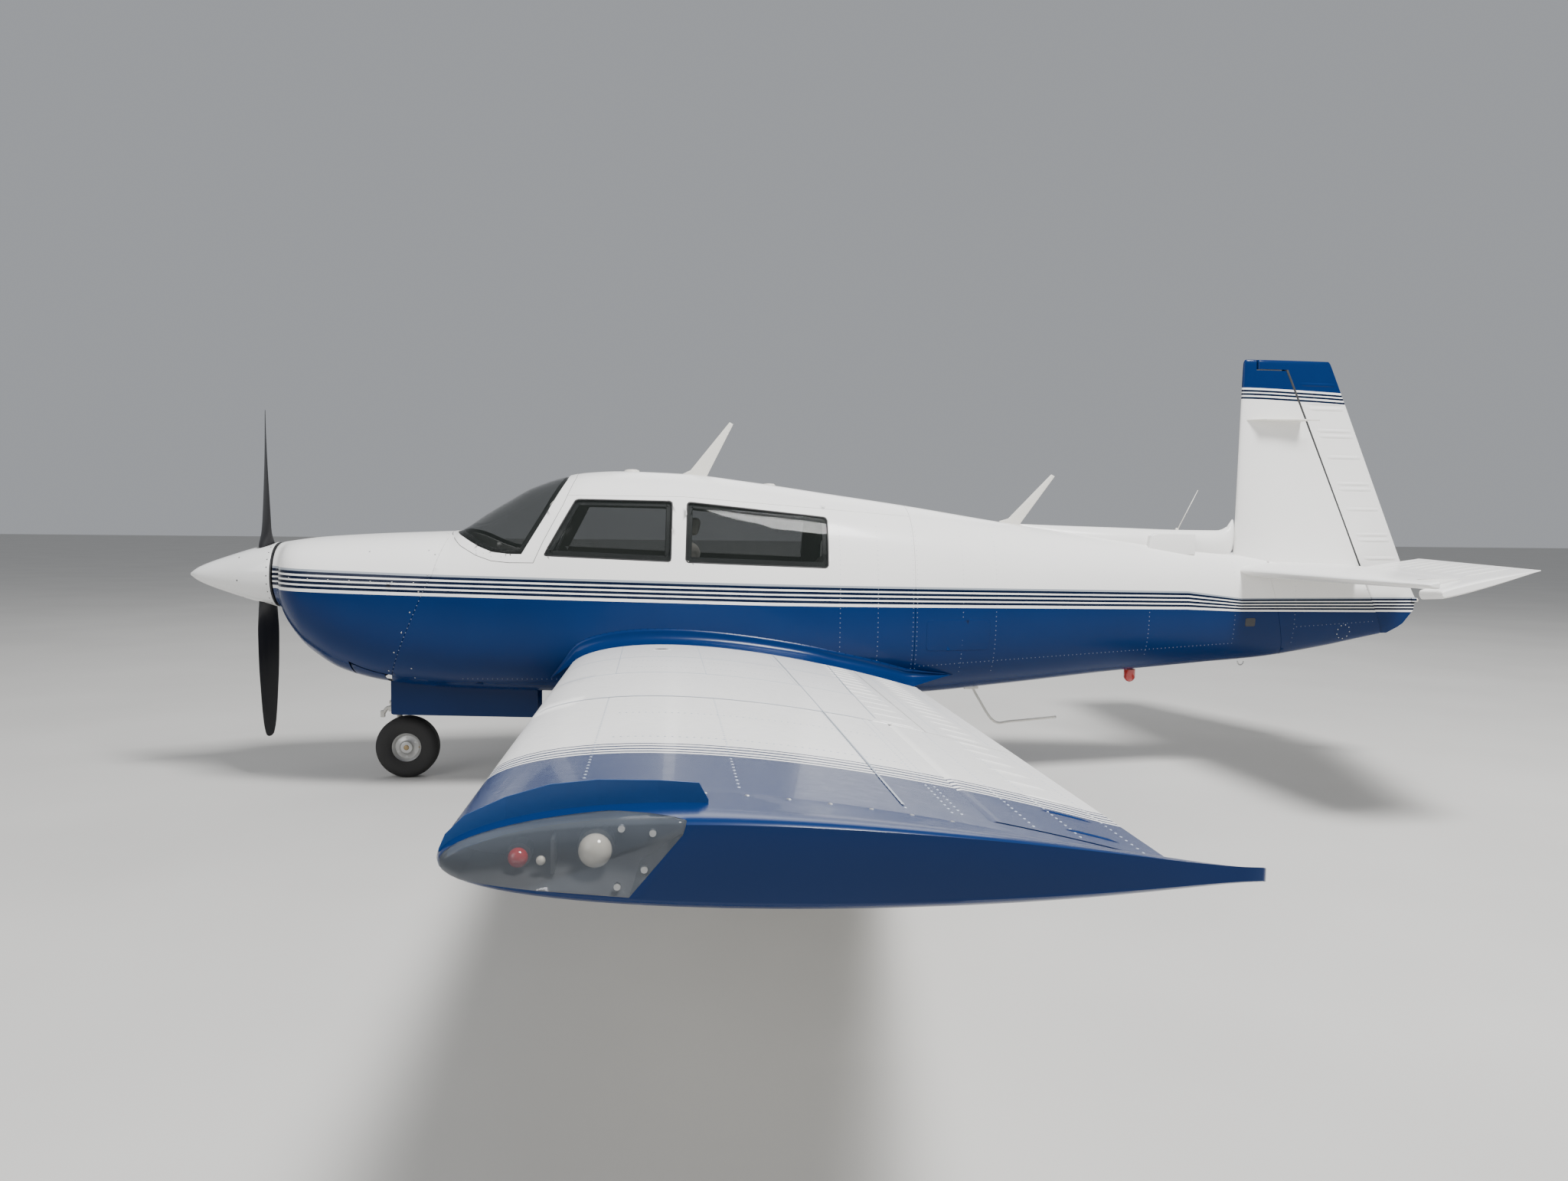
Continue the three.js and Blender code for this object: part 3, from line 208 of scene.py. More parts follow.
def eased(rows, key):
    """The row at a key, on smooth curves through a table that don't overshoot its values."""
    index = max(1, min(len(rows) - 1, sum(row[0] < key for row in rows)))
    before, after = rows[index - 1], rows[index]
    gap = after[0] - before[0]
    share = (key - before[0]) / gap

    def slope(at, column):
        if at == 0 or at == len(rows) - 1:
            near = rows[1] if at == 0 else rows[-2]
            return (near[column] - rows[at][column]) / (near[0] - rows[at][0])
        left, here, onward = rows[at - 1], rows[at], rows[at + 1]
        first = (here[column] - left[column]) / (here[0] - left[0])
        second = (onward[column] - here[column]) / (onward[0] - here[0])
        return 0.0 if first * second <= 0 else 2 * first * second / (first + second)

    values = [key]
    for column in range(1, len(before)):
        tangents = slope(index - 1, column) * gap, slope(index, column) * gap
        square, cube = share * share, share ** 3
        values.append((2 * cube - 3 * square + 1) * before[column] + (cube - 2 * square + share) * tangents[0]
                      + (3 * square - 2 * cube) * after[column] + (cube - square) * tangents[1])
    return values


def spot(station, side, height):
    """A point as metres behind the spinner's tip, right of the centre line and above the ground."""
    return Vector((NOSE_TIP + station, side, height))


def body_ring(station, inset=0.0):
    """Evenly spaced points round the body at a station, from its right side over the top."""
    _, bottom, top, half, widest, upper, lower = eased(BODY_SECTIONS, station)
    points = []
    for quarter in range(4):
        power = 2 / (upper if quarter < 2 else lower)
        reach = (top - widest if quarter < 2 else bottom - widest) + (-inset if quarter < 2 else inset)
        fine = []
        for step in range(61):
            angle = step / 60 * math.pi / 2
            fine.append(((half - inset) * math.cos(angle) ** power, reach * math.sin(angle) ** power))
        lengths = [0.0]
        for before, after in zip(fine, fine[1:]):
            lengths.append(lengths[-1] + math.dist(before, after))
        share = []
        at = 0
        for step in range(RING // 4):
            wanted = lengths[-1] * step / (RING // 4)
            while lengths[at + 1] < wanted:
                at += 1
            part = (wanted - lengths[at]) / (lengths[at + 1] - lengths[at])
            share.append([a + (b - a) * part for a, b in zip(fine[at], fine[at + 1])])
        if quarter in (1, 3):
            share = [fine[-1]] + [[a, b] for a, b in share[:0:-1]]
        sign = 1 if quarter in (0, 3) else -1
        points += [spot(station, sign * y, widest + z) for y, z in share]
    return points


def side_of(station, height):
    """How far the body's side is from the centre line at a station and a height."""
    _, bottom, top, half, widest, upper, lower = eased(BODY_SECTIONS, station)
    reach, power = (top - widest, upper) if height > widest else (widest - bottom, lower)
    share = min(1.0, abs(height - widest) / reach)
    return half * (1 - share ** power) ** (1 / power)


def loft(rings, closed=True, caps=False):
    """One skin through rings of points."""
    bm = bmesh.new()
    along = len(rings) - 1
    around = len(rings[0]) - (0 if closed else 1)
    bmesh.ops.create_grid(bm, x_segments=along, y_segments=around, size=0.5)
    for vertex in bm.verts:
        ring = rings[round((vertex.co.x + 0.5) * along)]
        vertex.co = ring[round((vertex.co.y + 0.5) * around) % len(ring)]
    bmesh.ops.remove_doubles(bm, verts=bm.verts, dist=1e-6)
    if caps:
        bmesh.ops.holes_fill(bm, edges=[edge for edge in bm.edges if edge.is_boundary])
    bmesh.ops.recalc_face_normals(bm, faces=bm.faces)
    return bm


def inside(outline, x, z):
    """Whether a point of the side view is inside an outline."""
    odd = False
    for (x0, z0), (x1, z1) in zip(outline, outline[1:] + outline[:1]):
        if (z0 > z) != (z1 > z) and x < x0 + (z - z0) * (x1 - x0) / (z1 - z0):
            odd = not odd
    return odd


def of_kind(parts, kind):
    """The points, the edges or the faces among the parts that an operator returns."""
    return [part for part in parts if isinstance(part, kind)]


def score(bm, outline, flat=1, only=None):
    """Cuts the faces along an outline, seen from the front, the side or above where flat is 0, 1 or 2."""
    axes = [axis for axis in range(3) if axis != flat]
    low = [min(point[axis] for point in outline) - 0.002 for axis in range(2)]
    high = [max(point[axis] for point in outline) + 0.002 for axis in range(2)]

    def overlaps(face, low, high):
        spans = [[vertex.co[axis] for vertex in face.verts] for axis in axes]
        return all(max(span) >= a and min(span) <= b for span, a, b in zip(spans, low, high))

    near = [face for face in bm.faces if overlaps(face, low, high) and (only is None or only(face))]
    for first, second in zip(outline, outline[1:] + outline[:1]):
        low = [min(first[axis], second[axis]) - 1e-4 for axis in range(2)]
        high = [max(first[axis], second[axis]) + 1e-4 for axis in range(2)]
        touched = [face for face in near if overlaps(face, low, high)]
        if not touched:
            continue
        near = [face for face in near if not overlaps(face, low, high)]
        run, across, start = Vector(), Vector(), Vector()
        across[flat] = 1
        for axis, begin, end in zip(axes, first, second):
            run[axis] = end - begin
            start[axis] = begin
        parts = set(touched)
        for face in touched:
            parts.update(face.edges)
            parts.update(face.verts)
        done = bmesh.ops.bisect_plane(bm, geom=list(parts), dist=1e-6, plane_co=start,
                                      plane_no=run.cross(across))
        near += of_kind(done["geom"], bmesh.types.BMFace)


def rounded(corners, radius, steps=5):
    """An outline with its corners rounded."""
    outline = []
    for index, corner in enumerate(corners):
        corner = Vector(corner)
        before, after = Vector(corners[index - 1]), Vector(corners[(index + 1) % len(corners)])
        cut = min(radius, (before - corner).length / 2.2, (after - corner).length / 2.2)
        start = corner + (before - corner).normalized() * cut
        end = corner + (after - corner).normalized() * cut
        for step in range(steps + 1):
            t = step / steps
            outline.append(tuple(start * (1 - t) ** 2 + corner * 2 * t * (1 - t) + end * t * t))
    return outline


def side_view(corners):
    """Corners given as stations and heights, in the frame's own x and z."""
    return [(NOSE_TIP + station, height) for station, height in corners]


def oblong(start, low, end, high):
    """An oblong's corners, in the same x and z, or in x and y where it lies flat."""
    return side_view([(start, low), (end, low), (end, high), (start, high)])


def grown(outline, distance):
    """An outline moved outwards."""
    area = sum(a[0] * b[1] - b[0] * a[1] for a, b in zip(outline, outline[1:] + outline[:1]))
    moved = []
    for index, corner in enumerate(outline):
        before, after = outline[index - 1], outline[(index + 1) % len(outline)]
        normals = []
        for start, end in ((before, corner), (corner, after)):
            length = math.dist(start, end)
            normals.append(Vector(((end[1] - start[1]) / length, (start[0] - end[0]) / length)))
        mean = (normals[0] + normals[1]) / (1 + normals[0].dot(normals[1]))
        moved.append(tuple(Vector(corner) + mean * (distance if area > 0 else -distance)))
    return moved


def dip_edges(bm, width=0.0016, depth=0.0016):
    """A narrow rim that dips inwards all round a sheet, so that joints show as grooves."""
    bm.normal_update()
    rim = bmesh.ops.inset_region(bm, faces=bm.faces, thickness=width, use_boundary=True, use_even_offset=True)
    bm.normal_update()
    edge = {vertex for item in bm.edges if item.is_boundary for vertex in item.verts}
    rim_faces = set(rim["faces"])
    for vertex in edge:
        vertex.co -= vertex.normal * depth
    for item in bm.edges:
        kinds = {face in rim_faces for face in item.link_faces}
        if len(kinds) == 2:
            item.smooth = False


def finish(name, bm, body, material, replaces=(), thickness=0.0, smooth=True):
    """Makes the piece from its mesh, and puts it on its body."""
    for face in bm.faces:
        face.smooth = smooth
    mesh = bpy.data.meshes.new(name)
    bm.to_mesh(mesh)
    bm.free()
    piece = bpy.data.objects.new(name, mesh)
    piece.data.materials.append(material)
    bpy.context.collection.objects.link(piece)
    if thickness:
        wall = piece.modifiers.new("wall", "SOLIDIFY")
        wall.thickness = thickness
        wall.offset = -1
    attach(piece, body)
    if replaces:
        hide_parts(*replaces)
    return piece


def trim(bm, outline, flat, keep=False, only=None):
    """Takes away what is inside an outline, or outside it, among the faces that only() picks."""
    score(bm, outline, flat, only)
    axes = [axis for axis in range(3) if axis != flat]
    gone = []
    for face in bm.faces:
        middle = face.calc_center_median()
        if (only is None or only(face)) and inside(outline, middle[axes[0]], middle[axes[1]]) != keep:
            gone.append(face)
    bmesh.ops.delete(bm, geom=gone, context="FACES")


def body_sheet(span, keep, holes=(), side=0, inset=0.0, step=0.026, dip=True, below=(), lead=()):
    """A sheet of the body between two stations, inside an outline and outside the holes, with
    more holes in its underside, and with rings of station and inset that lead into it."""
    count = max(2, round((span[1] - span[0]) / step))
    rings = [body_ring(*row) for row in lead]
    rings += [body_ring(span[0] + (span[1] - span[0]) * index / count, inset) for index in range(count + 1)]
    bm = loft(rings)
    if side:
        bmesh.ops.bisect_plane(bm, geom=bm.verts[:] + bm.edges[:] + bm.faces[:], dist=1e-6,
                               plane_co=(0, 0, 0), plane_no=(0, -side, 0), clear_outer=True)
    trim(bm, keep, 1, keep=True)
    for hole in holes:
        trim(bm, hole, 1)
    for hole in below:
        trim(bm, hole, 2, only=lambda face: face.normal.z < -0.1)
    if dip:
        dip_edges(bm)
    return bm


BAND_TOP = [(0.67, 1.226), (1.52, 1.202), (3.26, 1.161), (5.87, 1.113), (6.24, 1.072), (7.38, 1.071)]
BAND_BOTTOM = [(0.67, 1.112), (1.52, 1.095), (3.26, 1.051), (5.87, 1.011), (6.24, 0.996), (7.38, 0.984)]
# Blue lines across the band, as shares of its height from the top. Columns: start, end
BLUE_LINES = [(-0.02, 0.12), (0.21, 0.35), (0.44, 0.58), (0.665, 0.805)]
# Just above the first blue line lies a grey line of painted shadow along the band's top edge. Columns: start,
# end
PAINTED_SHADOW_LINE = (-0.13, -0.02)


def broken_line(points, x):
    """The height of a line through points, at a signal that gives the station."""
    slopes = [(b[1] - a[1]) / (b[0] - a[0]) for a, b in zip(points, points[1:])]
    height = (x - points[0][0]) * slopes[0] + points[0][1]
    for point, before, after in zip(points[1:-1], slopes, slopes[1:]):
        height = height + x.maths("MAXIMUM", x - point[0], 0.0) * (after - before)
    return height


def between(value, low, high):
    return (value > low) * (value < high)


def paint(name, pattern, worn=0.0):
    """Gloss paint over sheet: the pattern gives how blue each place is, from 0 to 1, and worn is how far the
    colour is mixed towards a pale grey-blue, partly for bare metal through worn paint and partly as a painted
    glint."""
    material, shader, signal, where = new_material(name, IOR=1.4, Specular_IOR_Level=0.24, Coat_Weight=0.07,
                                                   Coat_Roughness=0.04)
    blue, grey, lines = pattern(signal, split(signal, where))
    cloud = signal.noise(where, 3.0)
    dust = signal.noise(where, 40.0, 6.0)
    white = cloud.tint(colour(0.89, 0.88, 0.855), colour(0.93, 0.92, 0.895))
    deep = cloud.tint(colour(0.0003, 0.0165, 0.084), colour(0.0006, 0.0215, 0.103))
    painted = blue.tint(white, deep)
    # The grey line that a pattern may give is painted shadow; the dark blue lines go over it.
    if grey is not None:
        painted = grey.tint(painted, colour(0.33, 0.36, 0.40))
        painted = lines.tint(painted, colour(0.0010, 0.0060, 0.0260))
    # The pale grey-blue mix is partly worn paint and partly a painted glint on small heads.
    if worn:
        painted = (cloud * 0.08 + worn).tint(painted, colour(0.42, 0.47, 0.54))
    feed(shader, Base_Color=painted, Roughness=0.20 + dust * 0.09,
         Normal=signal.bumps(signal.noise(where, 5.0, 2.0), 0.0016, 0.25))
    return material


def body_pattern(signal, place):
    x, _, z = place
    station = x - NOSE_TIP
    top = broken_line(BAND_TOP, station)
    bottom = broken_line(BAND_BOTTOM, station)
    share = (top - z) / (top - bottom)
    lines = sum(between(share, *line) for line in BLUE_LINES)
    return share > 0.955, between(share, *PAINTED_SHADOW_LINE), lines


body_paint = paint("body_paint", body_pattern)

COWL_BACK = [(1.120, 0.500), (1.222, 0.682), (1.410, 1.124), (1.455, 1.214), (1.512, 1.432), (1.530, 1.560)]
COWL_SPLIT = 1.170
BELLY_TOP = 0.620
DOOR_POST = 1.945
CABIN_BACK = 4.120
WINDSHIELD_BASE = [(1.525, 1.4515), (1.600, 1.418), (1.690, 1.370), (1.765, 1.341), (1.850, 1.331),
                   (1.925, 1.330)]
WINDSHIELD = side_view(WINDSHIELD_BASE + [(2.045, 1.540), (2.150, 1.745), (2.172, 1.850), (1.480, 1.850)])
FRONT_WINDOW = rounded(side_view([(2.040, 1.320), (2.209, 1.636), (2.744, 1.631), (2.736, 1.292)]), 0.022)
REAR_WINDOW = rounded(side_view([(2.822, 1.629), (3.618, 1.551), (3.613, 1.262), (2.812, 1.289)]), 0.026)
CABIN_DOOR = rounded(side_view([(1.995, 0.900), (1.995, 1.295), (2.160, 1.646), (2.776, 1.646),
                                (2.776, 0.900)]), 0.06)
BAGGAGE_DOOR = rounded(side_view([(3.715, 1.040), (3.715, 1.418), (4.085, 1.418), (4.085, 1.040)]), 0.04)
NOSE_BAY = oblong(1.085, -0.118, 1.975, 0.118)
# The cowl's face: a flat ring round the shaft, rolled into the cheeks. Columns: station, inset
COWL_FACE = [(0.510, 0.138), (0.510, 0.100), (0.510, 0.060), (0.510, 0.030), (0.5105, 0.010), (0.513, 0.003)]
COWL_FLAP = {side: oblong(0.985, side * 0.150, 1.166, side * 0.400) for side in (-1, 1)}
INLET_OUT, INLET_HEIGHT = 0.252, 1.188  # the middle of each air inlet


def air_inlets(bm):
    """The oval inlets in the cheeks, each with a lip rolled into a short duct."""
    for side in (-1, 1):
        angles = [k * math.pi / 18 for k in range(36)]
        oval = [(side * INLET_OUT + 0.056 * math.cos(a), INLET_HEIGHT + 0.046 * math.sin(a)) for a in angles]
        trim(bm, oval, 0, only=lambda face: face.normal.x < -0.1)
        lip = [edge for edge in bm.edges if edge.is_boundary
               and all(math.hypot(abs(vertex.co.y) - INLET_OUT, vertex.co.z - INLET_HEIGHT) < 0.058
                       and vertex.co.y * side > 0.1 and vertex.co.x < NOSE_TIP + 0.60
                       for vertex in edge.verts)]
        for depth, squeeze in ((0.004, 0.97), (0.012, 0.94), (0.080, 0.92)):
            pushed = bmesh.ops.extrude_edge_only(bm, edges=lip)["geom"]
            lip = of_kind(pushed, bmesh.types.BMEdge)
            for vertex in of_kind(pushed, bmesh.types.BMVert):
                vertex.co.x += depth
                vertex.co.y = side * INLET_OUT + (vertex.co.y - side * INLET_OUT) * squeeze
                vertex.co.z = INLET_HEIGHT + (vertex.co.z - INLET_HEIGHT) * squeeze


cowl_line = side_view(COWL_BACK)
high_nose = side_view([(0.3, COWL_SPLIT), (1.433, COWL_SPLIT)]) + cowl_line[3:] + side_view([(0.3, 1.560)])
upper_cowl = body_sheet((0.518, 1.54), high_nose, step=0.018, lead=COWL_FACE)
air_inlets(upper_cowl)
finish("upper_cowl_skin", upper_cowl, "airframe", body_paint, ["cowl_upper"], 0.004)
low_nose = side_view([(0.3, 0.3), (1.12, 0.3)]) + cowl_line[:3]
low_nose += side_view([(1.433, COWL_SPLIT), (0.3, COWL_SPLIT)])
flap_holes = [oblong(0.977, side * 0.142, 1.30, side * 0.408) for side in (-1, 1)]
lower_cowl = body_sheet((0.518, 1.46), low_nose, step=0.018, below=[NOSE_BAY, *flap_holes], lead=COWL_FACE)
air_inlets(lower_cowl)
finish("lower_cowl_skin", lower_cowl, "airframe", body_paint, ["cowl_lower"], 0.004)
SIDES = (("left", -1), ("right", 1))
for side_name, side in SIDES:
    flap = body_sheet((0.97, 1.20), oblong(0.97, 0.5, 1.19, 0.75), side=side, dip=False)
    trim(flap, COWL_FLAP[side], 2, keep=True)
    dip_edges(flap)
    finish(f"{side_name}_cowl_flap_skin", flap, f"cowl_flap_{side_name}", body_paint,
           [f"cowl_flap_{side_name}"], 0.004)

forward = side_view([(1.193, BELLY_TOP)]) + cowl_line[1:]
forward += side_view([(1.930, 1.560), (1.930, 1.322), (DOOR_POST, 1.322), (DOOR_POST, BELLY_TOP)])
forward_sheet = body_sheet((1.18, 1.95), forward, [WINDSHIELD], 1, step=0.02)
finish("right_forward_skin", forward_sheet, "airframe", body_paint, ["forward_fuselage"], 0.003)

wall = side_view([(DOOR_POST, BELLY_TOP), (CABIN_BACK, BELLY_TOP), (CABIN_BACK, 1.560), (2.800, 1.655),
                  (1.930, 1.655), (1.930, 1.322), (DOOR_POST, 1.322)])
whole_side = side_view([(1.193, BELLY_TOP)]) + cowl_line[1:]
whole_side += side_view([(1.930, 1.655), (2.800, 1.655), (CABIN_BACK, 1.560), (CABIN_BACK, BELLY_TOP)])
roof = side_view([(1.930, 1.655), (2.800, 1.655), (CABIN_BACK, 1.560), (CABIN_BACK, 1.9), (1.930, 1.9)])
right_holes = [WINDSHIELD, grown(CABIN_DOOR, 0.004), REAR_WINDOW, grown(BAGGAGE_DOOR, 0.003)]
# Columns: name, stations, outline, holes, side, body, CAD piece
for name, span, outline, holes, side, body, node in [
    ("left_side_skin", (1.18, CABIN_BACK), whole_side, [WINDSHIELD, FRONT_WINDOW, REAR_WINDOW], -1,
     "airframe", "cabin_wall_left"),
    ("right_cabin_skin", (1.92, CABIN_BACK), wall, right_holes, 1, "airframe", "cabin_wall_right"),
    ("cabin_door_skin", (1.98, 2.79), CABIN_DOOR, [FRONT_WINDOW], 1, "cabin_door", "cabin_door"),
    ("baggage_door_skin", (3.70, 4.10), BAGGAGE_DOOR, [], 1, "baggage_door", "baggage_door"),
    ("roof_skin", (1.92, CABIN_BACK), roof, [WINDSHIELD], 0, "airframe", "cabin_roof"),
]:
    finish(name, body_sheet(span, outline, holes, side), body, body_paint, [node], 0.003)
belly = side_view([(1.120, 0.300), (1.120, 0.500), (1.193, BELLY_TOP), (CABIN_BACK, BELLY_TOP),
                   (CABIN_BACK, 0.300)])
finish("belly_sheet", body_sheet((1.11, CABIN_BACK), belly, below=[NOSE_BAY]), "airframe", body_paint,
       ["belly_skin"], 0.003)
# The last part is a separate skin, behind a joint that slants down and back. Its end stands
# 8 mm ahead of the rudder's round nose, which leans forward as it rises.
TAIL_JOINT = side_view([(6.570, 0.300), (6.570, 0.716), (6.450, 1.200), (6.460, 1.340), (6.400, 1.900)])
tail = side_view([(CABIN_BACK, 0.3)]) + TAIL_JOINT + side_view([(CABIN_BACK, 1.9)])
finish("tail_skin", body_sheet((CABIN_BACK, 6.60), tail), "airframe", body_paint, ["tail_cone"],
       0.003)
tail_end = side_view([(7.259, 0.3), (7.259, 0.850), (7.015, 1.410), (7.015, 1.9)]) + TAIL_JOINT[::-1]
finish("tail_end_skin", body_sheet((6.38, 7.265), tail_end), "airframe", body_paint, thickness=0.003)

# Glass: the windshield and side windows are bent acrylic sheet, faintly smoky, bonded to the
# skin from inside, so they stand a few millimetres behind its outside face.
glass, glass_shader, glass_signal, glass_where = new_material(
    "smoky_acrylic", IOR=1.49, Roughness=0.03, Alpha=0.34, Specular_IOR_Level=0.15)
haze = glass_signal.noise(glass_where, 2.5)
feed(glass_shader, Base_Color=haze.tint(colour(0.012, 0.015, 0.014), colour(0.022, 0.026, 0.024)),
     Roughness=0.02 + haze * 0.03)
windshield = body_sheet((1.50, 2.20), grown(WINDSHIELD, -0.0005), [], 0, 0.001, 0.02, dip=False)
finish("windshield_glass", windshield, "airframe", glass, ["windshield"], 0.004)
# Columns: name, window, stations, side, body, CAD piece
PANES = [
    ("left_front", FRONT_WINDOW, (2.0, 2.8), -1, "airframe", "window_front_left"),
    ("left_rear", REAR_WINDOW, (2.78, 3.66), -1, "airframe", "window_rear_left"),
    ("right_rear", REAR_WINDOW, (2.78, 3.66), 1, "airframe", "window_rear_right"),
    ("door", FRONT_WINDOW, (2.0, 2.8), 1, "cabin_door", "cabin_door_window"),
]
for name, window, span, side, body, node in PANES:
    sheet = body_sheet(span, grown(window, 0.012), [], side, 0.0036, 0.02, dip=False)
    finish(f"{name}_glass", sheet, body, glass, [node], 0.004)

# Round each pane a rubber seal fills the joint outside and a dark moulding covers it inside.
# The windshield's base and sides lie under a painted strip that is held by screws.


def plain(name, low, high, rough, grain, depth=0.0004, **fixed):
    """A material of one stuff whose colour, gloss and surface drift a little over a grain size."""
    material, shader, signal, where = new_material(name, **fixed)
    fine = signal.noise(where, 1 / grain, 5.0)
    broad = signal.noise(where, 0.08 / grain, 2.0)
    mixed = fine * 0.6 + broad * 0.4
    feed(shader, Base_Color=mixed.tint(colour(*low), colour(*high)), Roughness=broad * 0.16 + (rough - 0.08),
         Normal=signal.bumps(fine, depth, 0.4))
    return material


rubber = plain("black_rubber", (0.010, 0.010, 0.011), (0.022, 0.022, 0.023), 0.62, 0.004)
moulding = plain("grey_moulding", (0.035, 0.036, 0.038), (0.055, 0.056, 0.058), 0.55, 0.002)
steel = plain("bright_steel", (0.50, 0.50, 0.49), (0.66, 0.66, 0.65), 0.32, 0.006, Metallic=1.0)
for name, window, _, side, body, _ in PANES:
    seal = body_sheet((2.0, 3.7), grown(window, 0.001), [grown(window, -0.007)], side, 0.0014, 0.03,
                      dip=False)
    finish(f"{name}_seal", seal, body, rubber, thickness=0.003)
    frame_ring = body_sheet((2.0, 3.7), grown(window, 0.010), [grown(window, -0.034)], side, 0.0145, 0.03)
    finish(f"{name}_moulding", frame_ring, body, moulding, thickness=0.004)
border = body_sheet((1.50, 2.22), grown(WINDSHIELD, -0.001), [grown(WINDSHIELD, -0.026)], 0, 0.0058, 0.02,
                    dip=False)
finish("windshield_border", border, "airframe", rubber, thickness=0.002)
strip_outline = side_view([(1.470, 1.472), (1.590, 1.372), (1.680, 1.322), (1.765, 1.293), (1.860, 1.284),
                           (1.990, 1.284), (2.040, 1.400), (2.140, 1.600), (2.200, 1.760), (2.200, 1.90),
                           (1.470, 1.90)])
strip = body_sheet((1.46, 2.20), strip_outline, [WINDSHIELD], 0, -0.0014, 0.02)
finish("windshield_strip", strip, "airframe", body_paint, thickness=0.0014)
# A dark line just round the strip is painted shadow, the shadow that the strip's raised edge casts on the
# skin.
strip_edge_shade = body_sheet((1.45, 2.21), grown(strip_outline, 0.0022), [WINDSHIELD], 0, -0.0003, 0.02, dip=False)
finish("windshield_strip_edge_shade", strip_edge_shade, "airframe", moulding, thickness=0.0005)

# Screws hold the cowling and the windshield strip, and rows of rivets hold the sheets to the
# frames behind them. Each shows as a small head, about a millimetre proud.


def on_body(station, height, side):
    """A point of the body's side, and the way it faces."""
    def point(s, z):
        return spot(s, side * side_of(s, z), z)

    here = point(station, height)
    facing = (point(station + 0.01, height) - here).cross(point(station, height + 0.004) - here).normalized()
    return here, facing if facing.y * side > 0 else -facing


def mesh_into(bm, other):
    """Adds one mesh to another."""
    carried = bpy.data.meshes.new("carried")
    other.to_mesh(carried)
    other.free()
    bm.from_mesh(carried)
    bpy.data.meshes.remove(carried)


def studs(bm, places, radius, height):
    """A low head at each place, made a few at a time."""
    for first in range(0, len(places), 20):
        few = bmesh.new()
        for point, facing in places[first:first + 20]:
            turn = facing.to_track_quat("Z", "Y").to_matrix().to_4x4()
            place = Matrix.Translation(point + facing * height * 0.4) @ turn
            bmesh.ops.create_cone(few, cap_ends=True, segments=8, radius1=radius, radius2=radius * 0.62,
                                  depth=height, matrix=place)
        mesh_into(bm, few)


def along(points, gap):
    """Even steps along a line through points."""
    steps = []
    for start, end in zip(points, points[1:]):
        length = math.dist(start, end)
        count = max(1, round(length / gap))
        steps += [[a + (b - a) * k / count for a, b in zip(start, end)] for k in range(count)]
    return steps + [list(points[-1])]


def band_height(station, share):
    """The height of a line of the painted band."""
    index = max(1, min(len(BAND_TOP) - 1, sum(point[0] < station for point in BAND_TOP)))
    edges = []
    for line in (BAND_TOP, BAND_BOTTOM):
        (s0, z0), (s1, z1) = line[index - 1], line[index]
        edges.append(z0 + (z1 - z0) * (station - s0) / (s1 - s0))
    return edges[0] + (edges[1] - edges[0]) * share


screws, rivets = bmesh.new(), bmesh.new()
cowl_screws = [(1.105, 1.335), (1.425, 1.345), (1.330, 0.700), (1.335, 0.640)]
strip_screws = along([(1.535, 1.436), (1.680, 1.348), (1.765, 1.317), (1.925, 1.307)], 0.06)
body_rows = [[(s, 0.66), (s, 1.50)] for s in (3.680, 3.900, 4.108, 4.132, 4.410, 4.615)]
body_rows += [[(5.61, 0.74), (5.61, 1.00)], [(4.16, 0.70), (6.20, 0.80)], [(1.60, 0.64), (4.10, 0.64)]]
body_rows.append(COWL_BACK[1:5])
end_rows = [[(s, 0.80), (s, 1.30)] for s in (6.20, 6.62)]
end_rows += [[(6.64, 0.90), (7.18, 0.93)], [(6.64, 1.00), (7.18, 1.00)]]
angles = [k * math.pi / 4.5 for k in range(9)]
cover_screws = [(6.98 + 0.045 * math.cos(a), 0.865 + 0.045 * math.sin(a)) for a in angles]
for side in (-1, 1):
    spots = [on_body(s, band_height(s, 0.33), side) for s in (0.67, 0.785, 0.90, 1.015, 1.13, 1.245, 1.36)]
    spots += [on_body(s - 0.022, z, side) for s, z in along(COWL_BACK[1:5], 0.135)]
    spots += [on_body(s, z, side) for s, z in cowl_screws + strip_screws]
    studs(screws, spots, 0.0048, 0.0014)
    for rows, gap in ((body_rows, 0.027), (end_rows, 0.030)):
        for row in rows:
            studs(rivets, [on_body(s, z, side) for s, z in along(row, gap)], 0.0030, 0.0011)
    studs(screws, [on_body(s, z, side) for s, z in cover_screws], 0.0042, 0.0013)
rivet_heads = plain("rivet_heads", (0.27, 0.31, 0.37), (0.38, 0.42, 0.48), 0.34, 0.01)
finish("body_screws", screws, "airframe", steel)
# The rivet heads' pale grey-blue is partly worn paint and partly a painted glint.
finish("body_rivets", rivets, "airframe", paint("worn_and_glinting_body_paint", body_pattern, 0.34), smooth=False)

# A radio door on the left of the tail, a battery door on its right and a small cover plate on
# each side further back are thin plates that lie on the skin.
for name, outline, sides, proud in [
    ("radio_door", rounded(oblong(4.190, 0.790, 4.580, 0.970), 0.03), (-1,), 0.0012),
    ("tail_plate", rounded(oblong(6.275, 0.905, 6.345, 0.958), 0.012), (-1, 1), 0.0016),
    ("battery_door", rounded(oblong(4.22, 0.76, 4.54, 1.00), 0.03), (1,), 0.0012),
]:
    for side in sides:
        cover = body_sheet((4.0, 6.5), outline, [], side, -proud, 0.02)
        paint_used = moulding if name == "tail_plate" else body_paint
        label = "left" if side < 0 else "right"
        finish(f"{label}_{name}", cover, "airframe", paint_used, thickness=proud + 0.0004)

# Propeller: two forged aluminium blades in matt black, clamped in a hub behind a spun white
# spinner that a ring of small screws holds to its backplate.


